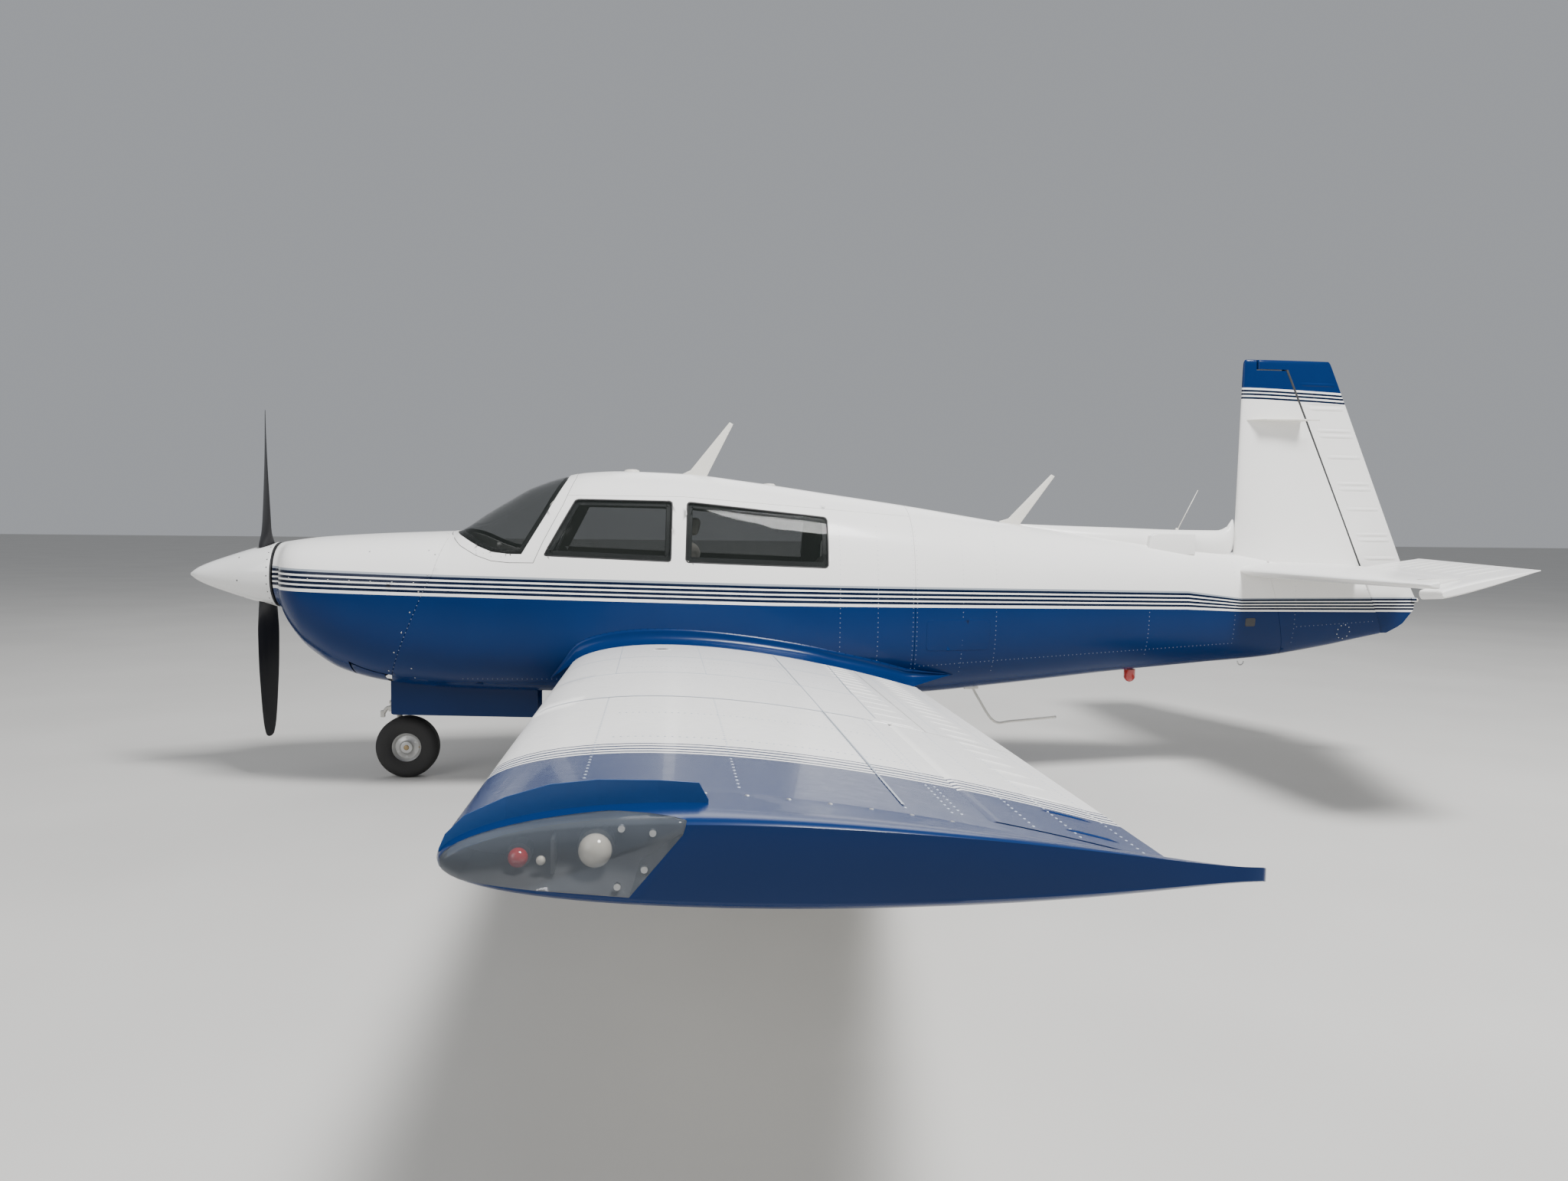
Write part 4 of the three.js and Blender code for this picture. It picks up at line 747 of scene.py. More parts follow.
def lathe(bm, profile, centre, axis="X", steps=64):
    """Spins a profile of [along the axis, radius] round an axis through a centre."""
    way = {"X": Vector((1, 0, 0)), "Y": Vector((0, 1, 0)), "Z": Vector((0, 0, 1))}[axis]
    out = Vector((0, 0, 1)) if axis != "Z" else Vector((1, 0, 0))
    corners = [bm.verts.new(Vector(centre) + way * at + out * radius) for at, radius in profile]
    edges = [bm.edges.new(pair) for pair in zip(corners, corners[1:])]
    bmesh.ops.spin(bm, geom=corners + edges, cent=centre, axis=way, angle=2 * math.pi, steps=steps,
                   use_merge=True)
    bmesh.ops.remove_doubles(bm, verts=bm.verts, dist=1e-6)
    bmesh.ops.recalc_face_normals(bm, faces=bm.faces)


def rod(bm, start, end, radius, end_radius=None, sides=20):
    """A round bar or cone between two points."""
    start, end = Vector(start), Vector(end)
    turn = (end - start).to_track_quat("Z", "Y").to_matrix().to_4x4()
    bmesh.ops.create_cone(bm, cap_ends=True, segments=sides, radius1=radius,
                          radius2=radius if end_radius is None else end_radius, depth=(end - start).length,
                          matrix=Matrix.Translation((start + end) / 2) @ turn)


def sharpen(bm, limit=38):
    """Makes each edge sharp where its faces meet at more than an angle in degrees."""
    for edge in bm.edges:
        edge.smooth = edge.calc_face_angle(0) < math.radians(limit)


PROP_AXIS = 1.187
PROP_DISC = 0.425
SPINNER = [(0.000, 0.000), (0.003, 0.007), (0.012, 0.0145), (0.045, 0.038), (0.110, 0.068), (0.218, 0.107),
           (0.340, 0.147), (0.440, 0.1745), (0.486, 0.1855)]
bm = bmesh.new()
fine = [eased(SPINNER, 0.486 * (k / 40) ** 1.5) for k in range(41)]
lathe(bm, [(s, max(r, 0.0)) for s, r in fine] + [(0.4905, 0.186), (0.492, 0.184), (0.470, 0.178)],
      (NOSE_TIP, 0, PROP_AXIS), steps=96)
for up in (-1, 1):
    opening = [(NOSE_TIP + PROP_DISC + 0.064 * math.cos(a), 0.064 * math.sin(a) - 0.004) for a in
               (k * math.pi / 14 for k in range(28))]
    trim(bm, opening, 2, only=lambda face: (face.calc_center_median().z - PROP_AXIS) * up > 0)
spinner_paint = plain("spinner_paint", (0.78, 0.78, 0.765), (0.83, 0.83, 0.815), 0.24, 0.02, 0.0002,
                      IOR=1.5, Coat_Weight=0.6, Coat_Roughness=0.04)
finish("spinner_shell", bm, "propeller", spinner_paint, ["spinner"], 0.0025)
bm = bmesh.new()
for ring, count, start in ((0.474, 24, 0.0), (0.300, 6, 0.3)):
    spots = []
    for k in range(count):
        angle = start + 2 * math.pi * k / count
        out = Vector((0, math.sin(angle), math.cos(angle)))
        if ring > 0.4 and abs(out.z) > 0.96:
            continue
        radius = eased(SPINNER, ring)[1]
        spots.append((spot(ring, 0, PROP_AXIS) + out * radius, (out + Vector((-0.28, 0, 0))).normalized()))
    studs(bm, spots, 0.0042 if ring > 0.4 else 0.005, 0.0012)
finish("spinner_screws", bm, "propeller", moulding)
bm = bmesh.new()
lathe(bm, [(0.4930, 0.045), (0.4930, 0.182), (0.4945, 0.1855), (0.5000, 0.1855), (0.5010, 0.183),
           (0.5010, 0.060), (0.515, 0.055), (0.715, 0.042)], (NOSE_TIP, 0, PROP_AXIS), steps=96)
lathe(bm, [(0.352, 0.0), (0.352, 0.060), (0.360, 0.070), (0.385, 0.075), (0.470, 0.075), (0.480, 0.068),
           (0.4935, 0.068)], (NOSE_TIP, 0, PROP_AXIS), steps=40)
for up in (-1, 1):
    foot, head = (spot(PROP_DISC, 0, PROP_AXIS + up * reach) for reach in (0.05, 0.118))
    rod(bm, foot, head, 0.062, 0.060, 28)
sharpen(bm)
dark_metal = plain("dark_metal", (0.030, 0.031, 0.033), (0.052, 0.053, 0.055), 0.45, 0.006, Metallic=0.6)
finish("propeller_hub", bm, "propeller", dark_metal, ["spinner_backplate"])

# Columns: radius, chord, thickness, twist in degrees from the disc
BLADE = [(0.110, 0.096, 0.096, 44), (0.165, 0.100, 0.090, 44), (0.205, 0.112, 0.068, 42),
         (0.245, 0.124, 0.046, 39), (0.340, 0.142, 0.027, 34), (0.520, 0.150, 0.019, 27),
         (0.700, 0.138, 0.013, 22), (0.850, 0.112, 0.009, 19), (0.915, 0.080, 0.007, 18),
         (0.932, 0.058, 0.006, 18), (0.940, 0.024, 0.004, 18)]


def blade(up):
    """One blade: round at its root, then a thin twisted section that narrows to the tip."""
    rings = []
    for k in range(61):
        radius = BLADE[0][0] + (BLADE[-1][0] - BLADE[0][0]) * (1 - (1 - k / 60) ** 1.35)
        _, chord, thick, twist = eased(BLADE, radius)
        twist = math.radians(twist)
        flat = min(1.0, max(0.0, (radius - 0.165) / 0.12))
        ring = []
        for j in range(32):
            angle = 2 * math.pi * j / 32
            where, out = math.cos(angle) * chord / 2, math.sin(angle) * thick / 2
            if out < 0:
                out *= 1 - 0.75 * flat
            ring.append(spot(PROP_DISC - where * math.sin(twist) - out * math.cos(twist),
                             up * (where * math.cos(twist) - out * math.sin(twist)), PROP_AXIS + up * radius))
        rings.append(ring)
    return loft(rings, caps=True)


blade_paint, blade_shader, blade_signal, blade_where = new_material("blade_black")
worn = blade_signal.noise(blade_where, 260.0, 6.0)
stretched = blade_signal.node("Mapping", {}, {"Vector": blade_where, "Scale": (60, 60, 4)})
streak = blade_signal.noise(stretched, 1.0)
black = streak.tint(colour(0.008, 0.008, 0.010), colour(0.022, 0.022, 0.025))
feed(blade_shader, Base_Color=(worn > 0.72).tint(black, colour(0.10, 0.10, 0.10)),
     Roughness=streak * 0.2 + 0.34, Normal=blade_signal.bumps(worn, 0.0002, 0.3))
for name, up in (("upper", 1), ("lower", -1)):
    finish(f"{name}_blade", blade(up), "propeller", blade_paint, [f"propeller_blade_{name}"])

# Cabin: the walls are covered in grey-beige vinyl and the roof in pale cloth, on a dark
# carpet. A padded dark shield covers the instruments, which sit in a grey sheet panel.


def woven(name, low, high, thread, rough=0.9):
    """Cloth: two crossed sets of threads, with a soft drift of colour."""
    material, shader, signal, where = new_material(name, Sheen_Weight=0.25)
    x, y, z = split(signal, where)
    warp = signal.maths("SINE", (x + y) * (math.pi / thread))
    weft = signal.maths("SINE", (z + y * 0.7) * (math.pi / thread))
    knots = signal.maths("MAXIMUM", warp, weft)
    drift = signal.noise(where, 9.0)
    feed(shader, Base_Color=(knots * 0.25 + drift * 0.6).tint(colour(*low), colour(*high)),
         Roughness=drift * 0.1 + (rough - 0.05),
         Normal=signal.bumps(knots, 0.0004, 0.5))
    return material


vinyl = plain("pale_vinyl", (0.13, 0.124, 0.112), (0.17, 0.162, 0.148), 0.6, 0.003, 0.0006)
headliner = woven("roof_cloth", (0.42, 0.41, 0.38), (0.50, 0.49, 0.46), 0.0022)
carpet = woven("dark_carpet", (0.020, 0.024, 0.034), (0.045, 0.050, 0.062), 0.004, 1.0)
panel_grey = plain("panel_grey", (0.060, 0.062, 0.066), (0.085, 0.088, 0.092), 0.55, 0.002)
walls = side_view([(1.965, 0.714), (4.105, 0.714), (4.105, 1.545), (2.80, 1.640), (1.965, 1.640)])
window_holes = [grown(window, -0.033) for window in (FRONT_WINDOW, REAR_WINDOW)]
post = side_view([(1.95, 0.5), (1.965, 0.5), (1.995, 1.34), (2.16, 1.70), (2.0, 1.9), (1.5, 1.9), (1.5, 0.5)])
right_gaps = [post, grown(CABIN_DOOR, 0.010), window_holes[1], grown(BAGGAGE_DOOR, 0.010)]
ceiling = side_view([(2.165, 1.642), (2.80, 1.642), (4.105, 1.547), (4.105, 1.9), (2.165, 1.9)])
# Columns: name, stations, outline, holes, side, step, whether its edges are rolled, body
for name, span, outline, holes, side, step, dip, body in [
    ("left_lining", (1.95, 4.11), walls, [post, *window_holes], -1, 0.04, False, "airframe"),
    ("right_lining", (1.95, 4.11), walls, right_gaps, 1, 0.04, False, "airframe"),
    ("door_lining", (1.98, 2.79), grown(CABIN_DOOR, -0.012), [window_holes[0]], 1, 0.03, True, "cabin_door"),
    ("hatch_lining", (3.70, 4.10), grown(BAGGAGE_DOOR, -0.012), [], 1, 0.03, True, "baggage_door"),
    ("headliner", (2.15, 4.11), ceiling, [grown(WINDSHIELD, 0.01)], 0, 0.04, False, "airframe"),
]:
    sheet = body_sheet(span, outline, holes, side, 0.0185, step, dip)
    finish(name, sheet, body, headliner if name == "headliner" else vinyl, thickness=0.002)
iron = plain("engine_iron", (0.035, 0.036, 0.038), (0.075, 0.074, 0.072), 0.6, 0.004, 0.002, Metallic=0.7)
for node, material in (("cabin_floor", carpet), ("baggage_bulkhead", vinyl), ("firewall", steel),
                       ("nose_wheel_well", panel_grey), ("engine_block", iron)):
    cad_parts[node].data.materials.clear()
    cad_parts[node].data.materials.append(material)
post_cover = side_view([(1.880, 1.338), (2.062, 1.325), (2.222, 1.640), (2.222, 1.690), (2.170, 1.752),
                        (2.030, 1.560)])
for side_name, side, gaps in (("left", -1, []), ("right", 1, [grown(CABIN_DOOR, 0.010)])):
    cover = body_sheet((1.87, 2.24), post_cover, [WINDSHIELD, *gaps], side, 0.0150, 0.02, dip=False)
    finish(f"{side_name}_post_cover", cover, "airframe", moulding, thickness=0.003)

# Columns: station, height of the shield's top
SHIELD = [(1.640, 1.294), (1.700, 1.320), (1.850, 1.338), (1.950, 1.346), (1.972, 1.345), (1.982, 1.338),
          (1.985, 1.328), (1.980, 1.320)]
rings = []
for station, height in SHIELD:
    reach = side_of(min(station, 1.975), height) - 0.030
    rings.append([spot(station, reach * (k / 16 - 1), height - 0.012 * abs(k / 16 - 1) ** 3)
                  for k in range(33)])
shield_vinyl = plain("shield_vinyl", (0.012, 0.012, 0.013), (0.024, 0.024, 0.025), 0.7, 0.002, 0.0005)
shield = loft(rings, closed=False)
finish("glare_shield", shield, "airframe", shield_vinyl, ["instrument_panel"], 0.010)
rings = []
for k in range(13):
    height = 1.012 + 0.302 * k / 12
    reach = side_of(1.955, height) - 0.030
    rings.append([spot(1.974 - 0.020 * (1 - k / 12), reach * (j / 12 - 1), height) for j in range(25)])
finish("panel_sheet", loft(rings, closed=False), "airframe", panel_grey, thickness=0.003)


def block(bm, corner, opposite, edge=0.0, segments=3):
    """A box between two opposite corners, its edges rounded."""
    pairs = list(zip(corner, opposite))
    low, high = Vector([min(pair) for pair in pairs]), Vector([max(pair) for pair in pairs])
    made = bmesh.ops.create_cube(bm, size=1.0, matrix=(Matrix.Translation((low + high) / 2)
                                                       @ Matrix.Diagonal((*(high - low), 1))))
    if edge:
        edges = {item for vertex in made["verts"] for item in vertex.link_edges}
        bmesh.ops.bevel(bm, geom=list(edges), offset=edge, affect="EDGES", segments=segments, profile=0.5,
                        material=-1)


bezels, dials = bmesh.new(), bmesh.new()
for y in (-0.40, -0.30, -0.20, 0.24, 0.33, 0.42):
    for z in ((1.255, 1.155, 1.065) if abs(y) < 0.38 else (1.235, 1.140)):
        x = NOSE_TIP + 1.972 - 0.020 * (1 - (z - 1.012) / 0.302)
        lathe(bezels, [(0.0, 0.0405), (0.006, 0.0405), (0.008, 0.038), (0.008, 0.035), (0.003, 0.034)],
              (x, y, z), steps=28)
        rod(dials, (x + 0.0005, y, z), (x + 0.0035, y, z), 0.0342, sides=28)
for z in (1.045, 1.095, 1.145, 1.200, 1.262):
    block(bezels, spot(1.950, -0.085, z - 0.021), spot(1.982, 0.085, z + 0.021), 0.003, 2)
    rod(bezels, spot(1.980, -0.066, z), spot(1.994, -0.066, z), 0.008, sides=14)
    rod(bezels, spot(1.980, 0.066, z), spot(1.994, 0.066, z), 0.008, sides=14)
    block(dials, spot(1.981, -0.050, z - 0.012), spot(1.983, 0.050, z + 0.012), 0.001, 1)
finish("panel_bezels", bezels, "airframe", moulding, smooth=False)
dial_glass, dial_shader, dial_signal, dial_where = new_material("dial_faces", Coat_Weight=1.0)
marks = dial_signal.noise(dial_where, 160.0, 2.0)
feed(dial_shader, Base_Color=(marks > 0.60).tint(colour(0.006, 0.006, 0.007), colour(0.35, 0.36, 0.33)),
     Roughness=marks * 0.1 + 0.2)
finish("panel_dials", dials, "airframe", dial_glass, smooth=False)


def tube(bm, points, radius, sides=12):
    """A bent bar through points, round all the way, closed at both ends."""
    points = [Vector(point) for point in points]
    fine = []
    for index, (start, end) in enumerate(zip(points, points[1:])):
        before = points[index - 1] if index else start
        after = points[index + 2] if index + 2 < len(points) else end
        for step in range(6):
            t = step / 6
            bend = 2 * before - 5 * start + 4 * end - after
            fine.append(0.5 * ((2 * start) + (end - before) * t + bend * t * t
                               + (3 * start - before - 3 * end + after) * t ** 3))
    fine.append(points[-1])
    rings = []
    across = (fine[1] - fine[0]).orthogonal().normalized()
    for index, point in enumerate(fine):
        heading = (fine[min(index + 1, len(fine) - 1)] - fine[max(index - 1, 0)]).normalized()
        across = (across - heading * across.dot(heading)).normalized()
        other = heading.cross(across)
        rings.append([point + (across * math.cos(a) + other * math.sin(a)) * radius
                      for a in (2 * math.pi * k / sides for k in range(sides))])
    mesh_into(bm, loft(rings, caps=True))


bm = bmesh.new()
for side in (-1, 1):
    y = side * 0.262
    rod(bm, spot(1.965, y, 1.120), spot(2.150, y, 1.120), 0.011)
    rod(bm, spot(1.965, y, 1.120), spot(1.978, y, 1.120), 0.020)
    tube(bm, [spot(2.172, y - 0.112, 1.232), spot(2.168, y - 0.117, 1.180), spot(2.160, y - 0.108, 1.125),
              spot(2.155, y - 0.070, 1.100), spot(2.154, y, 1.104), spot(2.155, y + 0.070, 1.100),
              spot(2.160, y + 0.108, 1.125), spot(2.168, y + 0.117, 1.180), spot(2.172, y + 0.112, 1.232)],
              0.0135)
    block(bm, spot(2.146, y - 0.045, 1.085), spot(2.168, y + 0.045, 1.140), 0.006)
finish("control_wheels", bm, "airframe", rubber)

# Seats: foam cushions covered in grey-beige cloth, in shallow pans on steel runners along the
# floor. Each cover swells round its foam as filled cloth does, and is held in at its edges.
seat_cloth = woven("seat_cloth", (0.26, 0.245, 0.22), (0.34, 0.325, 0.295), 0.0024)


def pad(name, low, high, lean=0.0, pivot=(0, 0), waist=0.06, swell=0.014, soften=0.045, cell=0.006):
    """A padded block between two corners: pinched at its edges, swollen, then leant back."""
    low, high = Vector(low), Vector(high)
    middle, half = (low + high) / 2, (high - low) / 2
    bm = bmesh.new()
    block(bm, low, high, soften, 4)
    bmesh.ops.subdivide_edges(bm, edges=bm.edges[:], cuts=2, use_grid_fill=True)
    for vertex in bm.verts:
        share = [(vertex.co[axis] - middle[axis]) / half[axis] for axis in range(3)]
        thin = min(range(3), key=lambda axis: half[axis])
        wide = [axis for axis in range(3) if axis != thin]
        for axis, other in (wide, wide[::-1]):
            vertex.co[axis] -= share[axis] * half[axis] * waist * (1 - share[other] ** 2) * 0.5
    mesh = bpy.data.meshes.new(name)
    bm.to_mesh(mesh)
    bm.free()
    piece = bpy.data.objects.new(name, mesh)
    bpy.context.collection.objects.link(piece)
    remesh = piece.modifiers.new("skin", "REMESH")
    remesh.mode = "VOXEL"
    remesh.voxel_size = cell
    apply_all(piece)
    rest = [vertex.co.copy() for vertex in piece.data.vertices]
    cloth = piece.modifiers.new("cloth", "CLOTH")
    cloth.settings.use_pressure = True
    cloth.settings.uniform_pressure_force = 4.0
    cloth.settings.effector_weights.gravity = 0.0
    cloth.point_cache.frame_end = 20
    for number in range(1, 21):
        bpy.context.scene.frame_set(number)
    apply_all(piece)
    for vertex, start in zip(piece.data.vertices, rest):
        moved = vertex.co - start
        if moved.length > swell:
            vertex.co = start + moved.normalized() * swell
    bpy.context.scene.frame_set(1)
    for vertex in piece.data.vertices:
        dx, dz = vertex.co.x - pivot[0], vertex.co.z - pivot[1]
        vertex.co.x = pivot[0] + dx * math.cos(lean) + dz * math.sin(lean)
        vertex.co.z = pivot[1] - dx * math.sin(lean) + dz * math.cos(lean)
    for face in piece.data.polygons:
        face.use_smooth = True
    return piece


def apply_all(piece):
    """Makes the shape that the modifiers give the piece's own mesh."""
    shape = piece.evaluated_get(bpy.context.evaluated_depsgraph_get())
    made = bpy.data.meshes.new_from_object(shape)
    piece.modifiers.clear()
    piece.data = made


def place_pad(piece, nodes):
    """Covers a pad in the seats' cloth and puts it on the airframe."""
    piece.data.materials.clear()
    piece.data.materials.append(seat_cloth)
    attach(piece, "airframe")
    if nodes:
        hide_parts(*nodes)


def copied(piece, name, shift):
    """The same pad again, moved to the other seat."""
    twin = bpy.data.objects.new(name, piece.data.copy())
    for vertex in twin.data.vertices:
        vertex.co.y += shift
    bpy.context.collection.objects.link(twin)
    return twin


# Columns: row, front, middle, half width, height of the back
for row, front, middle, half, top in (("front", 2.235, -0.272, 0.228, 1.430),
                                      ("rear", 3.140, 0.0, 0.470, 1.330)):
    x = NOSE_TIP + front
    lean = math.atan(0.24)
    pivot = (x + 0.500, 0.90)
    low, high = middle - half, middle + half
    cushion = pad(f"{row}_cushion", (x + 0.012, low + 0.012, 0.848), (x + 0.462, high - 0.012, 0.950))
    back = pad(f"{row}_backrest", (x + 0.445, low + 0.014, 0.925), (x + 0.545, high - 0.014, top - 0.004),
               lean, pivot)
    pads = [(cushion, "cushion", 0.7), (back, "backrest", 0.6)]
    if row == "front":
        head = pad("front_headrest", (x + 0.462, middle - 0.112, top + 0.022),
                   (x + 0.520, middle + 0.112, top + 0.125), lean, pivot,
                   swell=0.008, soften=0.026)
        pads.append((head, "headrest", 0.7))
        for piece, label, fill in pads:
            twin = copied(piece, f"right_front_{label}", 0.544)
            place_pad(twin, ["seat_front_right"] if label == "cushion" else [])
    for piece, label, fill in pads:
        nodes = {"front": ["seat_front_left"], "rear": ["seat_rear"]}[row] if label == "cushion" else []
        place_pad(piece, nodes)
bm, shells = bmesh.new(), bmesh.new()
for middle, front, half in ((-0.272, 2.235, 0.228), (0.272, 2.235, 0.228), (0.0, 3.140, 0.470)):
    x = NOSE_TIP + front
    block(shells, (x + 0.03, middle - half + 0.03, 0.790), (x + 0.45, middle + half - 0.03, 0.846), 0.012)
    for side in (-1, 1):
        y = middle + side * (half * 0.72)
        block(bm, (x + 0.02, y - 0.012, 0.7125), (x + 0.46, y + 0.012, 0.732), 0.003, 1)
        rod(bm, (x + 0.07, y, 0.728), (x + 0.10, y, 0.795), 0.011)
        rod(bm, (x + 0.40, y, 0.728), (x + 0.38, y, 0.795), 0.011)
        if half < 0.3:
            rod(bm, (x + 0.593, middle + side * 0.07, 1.400), (x + 0.618, middle + side * 0.07, 1.470), 0.006)
finish("seat_runners", bm, "airframe", steel)
finish("seat_pans", shells, "airframe", moulding)

# Wings: tapered aluminium panels on a main spar. Their skins lap over each other along the
# chord, rows of domed rivets hold them to the spars behind, and the last half metre is blue.
WING_SECTIONS = [
    # distance out, front, back, height of the front and the back, thickness and arch per chord
    (0.2500, 2.1738, 4.1550, 0.6814, 0.5690, 0.1500, 0.016),
    (5.3000, 2.4111, 3.4480, 1.0940, 1.0134, 0.1211, 0.016),
    (5.4000, 2.4180, 3.4740, 1.1030, 1.0420, 0.1180, 0.008),
    (5.4600, 2.4230, 3.4680, 1.1080, 1.0630, 0.1090, 0.008),
    (5.4850, 2.4290, 3.4610, 1.1100, 1.0700, 0.1030, 0.008),
    (5.4960, 2.4350, 3.4540, 1.1115, 1.0740, 0.0950, 0.008),
    (5.5000, 2.4400, 3.4480, 1.1120, 1.0760, 0.0860, 0.008),
]
HINGE = 0.74  # share of the chord
FLAP = (0.640, 3.820)
AILERON = (3.832, 5.225)
SHROUD = 0.808  # the fixed skin reaches this far over the flap
NOSE_GAP = 0.005


def half_section(share):
    """Half the thickness of a wing section, as a share of its full thickness."""
    return 5 * (0.2969 * math.sqrt(share) - 0.126 * share - 0.3516 * share ** 2
                + 0.2843 * share ** 3 - 0.1036 * share ** 4)


def straight(rows, key):
    """The row at a key, on straight lines through a table."""
    index = max(1, min(len(rows) - 1, sum(row[0] < key for row in rows)))
    before, after = rows[index - 1], rows[index]
    part = (key - before[0]) / (after[0] - before[0])
    return [a + (b - a) * part for a, b in zip(before, after)][1:]


def wing_point(side, out, share, over, proud=0.0):
    """A point of the wing's skin: over is 1 on top, -1 below and 0 on the middle line."""
    front, back, front_height, back_height, thickness, arch = straight(WING_SECTIONS, out)
    chord = back - front
    half = max(half_section(share) * thickness * chord, 0.0015 if share > 0.5 else 0.0) + proud
    # The tip's rear edge is thick and rounded, and its underside is fuller than the wing's.
    near_tip = min(1.0, max(0.0, (out - 5.35) / 0.11))
    fuller = max(0.0, -over) * 0.095 * near_tip * share ** 2 * (1.0 - share)
    half = math.hypot(half, 0.0085 * near_tip * share ** 3) + fuller
    height = front_height + share * (back_height - front_height) + arch * 4 * share * (1 - share) * chord
    return spot(front + share * chord, side * out, height + over * half)


def nose_radius(out):
    """The radius of a flap's or an aileron's round nose."""
    front, back, _, _, thickness, _ = straight(WING_SECTIONS, out)
    return half_section(HINGE) * thickness * (back - front)


def lip_share(out, over, reach):
    """Where the skin comes within a reach of the hinge line."""
    centre = wing_point(1, out, HINGE, 0)
    low, high = 0.5, HINGE
    for _ in range(24):
        middle = (low + high) / 2
        if (wing_point(1, out, middle, over) - centre).length > reach:
            low = middle
        else:
            high = middle
    return low


def wing_ring(side, out, kind, proud=0.0, fore=26, rear=12):
    """Points round the wing: along the top to the nose, back below, and round the rear."""
    reach = nose_radius(min(out, 5.3)) + NOSE_GAP
    low_end = lip_share(out, -1, reach) if out < 5.31 else 0.70
    top_end = SHROUD if kind == "flap" else lip_share(out, 1, reach) if out < 5.31 else 0.70
    fixed, aft = 0.66, 4  # the share where the even steps start, and how many there are
    points = [wing_point(side, out, top_end + (fixed - top_end) * k / aft, 1, proud) for k in range(aft)]
    points += [wing_point(side, out, fixed * (0.5 + 0.5 * math.cos(math.pi * k / fore)), 1,
                          proud * min(1, 3 * (fore - k) / fore)) for k in range(fore)]
    points += [wing_point(side, out, fixed * (0.5 - 0.5 * math.cos(math.pi * k / fore)), -1,
                          proud * min(1, 3 * k / fore)) for k in range(fore)]
    points += [wing_point(side, out, fixed + (low_end - fixed) * k / aft, -1, proud) for k in range(aft + 1)]
    if kind == "full":
        half = rear // 2
        points += [wing_point(side, out, low_end + (1 - low_end) * k / half, -1) for k in range(1, half + 1)]
        points += [wing_point(side, out, 1 + (top_end - 1) * k / half, 1) for k in range(half)]
        return points
    centre = wing_point(side, out, HINGE, 0)
    start = math.atan2(points[-1].z - centre.z, points[-1].x - centre.x) % (2 * math.pi)
    end = math.atan2(points[0].z - centre.z, points[0].x - centre.x) if kind == "aileron" else math.pi / 2
    steps = rear if kind == "aileron" else rear - 2
    inner = reach - (0.0025 if kind == "flap" else 0.0)
    for k in range(1, steps + 1):
        angle = start + (end - start) * k / (steps + 1)
        round_reach = reach + (inner - reach) * k / steps
        points.append(centre + Vector((math.cos(angle), 0, math.sin(angle))) * round_reach)
    if kind == "flap":
        points += [wing_point(side, out, share, 1, -0.0025) for share in (HINGE + 0.01, SHROUD)]
    return points


def panel_ring(side, out, kind, steps=8):
    """Points round a flap or an aileron: its round nose, then its skins to the rear edge."""
    drop = 0.0075 if kind == "flap" else 0.0
    centre = wing_point(side, out, HINGE, 0) - Vector((0, 0, drop / 2))
    radius = nose_radius(out) - drop / 2
    angles = [math.pi * (0.5 + k / 12) for k in range(13)]
    points = [centre + Vector((math.cos(angle), 0, math.sin(angle))) * radius for angle in angles]
    shares = [HINGE + 0.01 + (0.99 - HINGE) * k / steps for k in range(steps + 1)]
    points += [wing_point(side, out, share, -1) for share in shares]
    points += [wing_point(side, out, share, 1) for share in reversed(shares) if share > SHROUD + 0.01]
    points += [wing_point(side, out, SHROUD + 0.006, 1)]
    points += [wing_point(side, out, share, 1, -drop)
               for share in (SHROUD + 0.003, SHROUD - 0.03, HINGE + 0.01)]
    return points


TIP_LINES = [(4.80, 4.812), (4.832, 4.848), (4.868, 4.884), (4.902, 4.916)]
TIP_BLUE = 4.93


def wing_pattern(signal, place):
    out = signal.maths("ABSOLUTE", place[1])
    return sum((between(out, *line) for line in TIP_LINES), out > TIP_BLUE), None, None


wing_paint = paint("wing_paint", wing_pattern)
MAIN_AXLE = 3.031  # the main wheels' station
WELL_OUT = 0.80  # each wheel well's middle, from the centre line
WELL_RADIUS, WELL_ROOF = 0.245, 0.725  # the well's round part, and the height of its roof
NO_RIVETS = 0.27  # how near the well's middle no rivet stands
WELL_ANGLES = [math.radians(18 + k * 12) for k in range(28)]
WELL = [(NOSE_TIP + MAIN_AXLE - WELL_RADIUS * math.sin(a), WELL_OUT - WELL_RADIUS * math.cos(a))
        for a in WELL_ANGLES]
leg_slot = [(NOSE_TIP + MAIN_AXLE + 0.07, 1.44), (NOSE_TIP + MAIN_AXLE - 0.07, 1.44)]

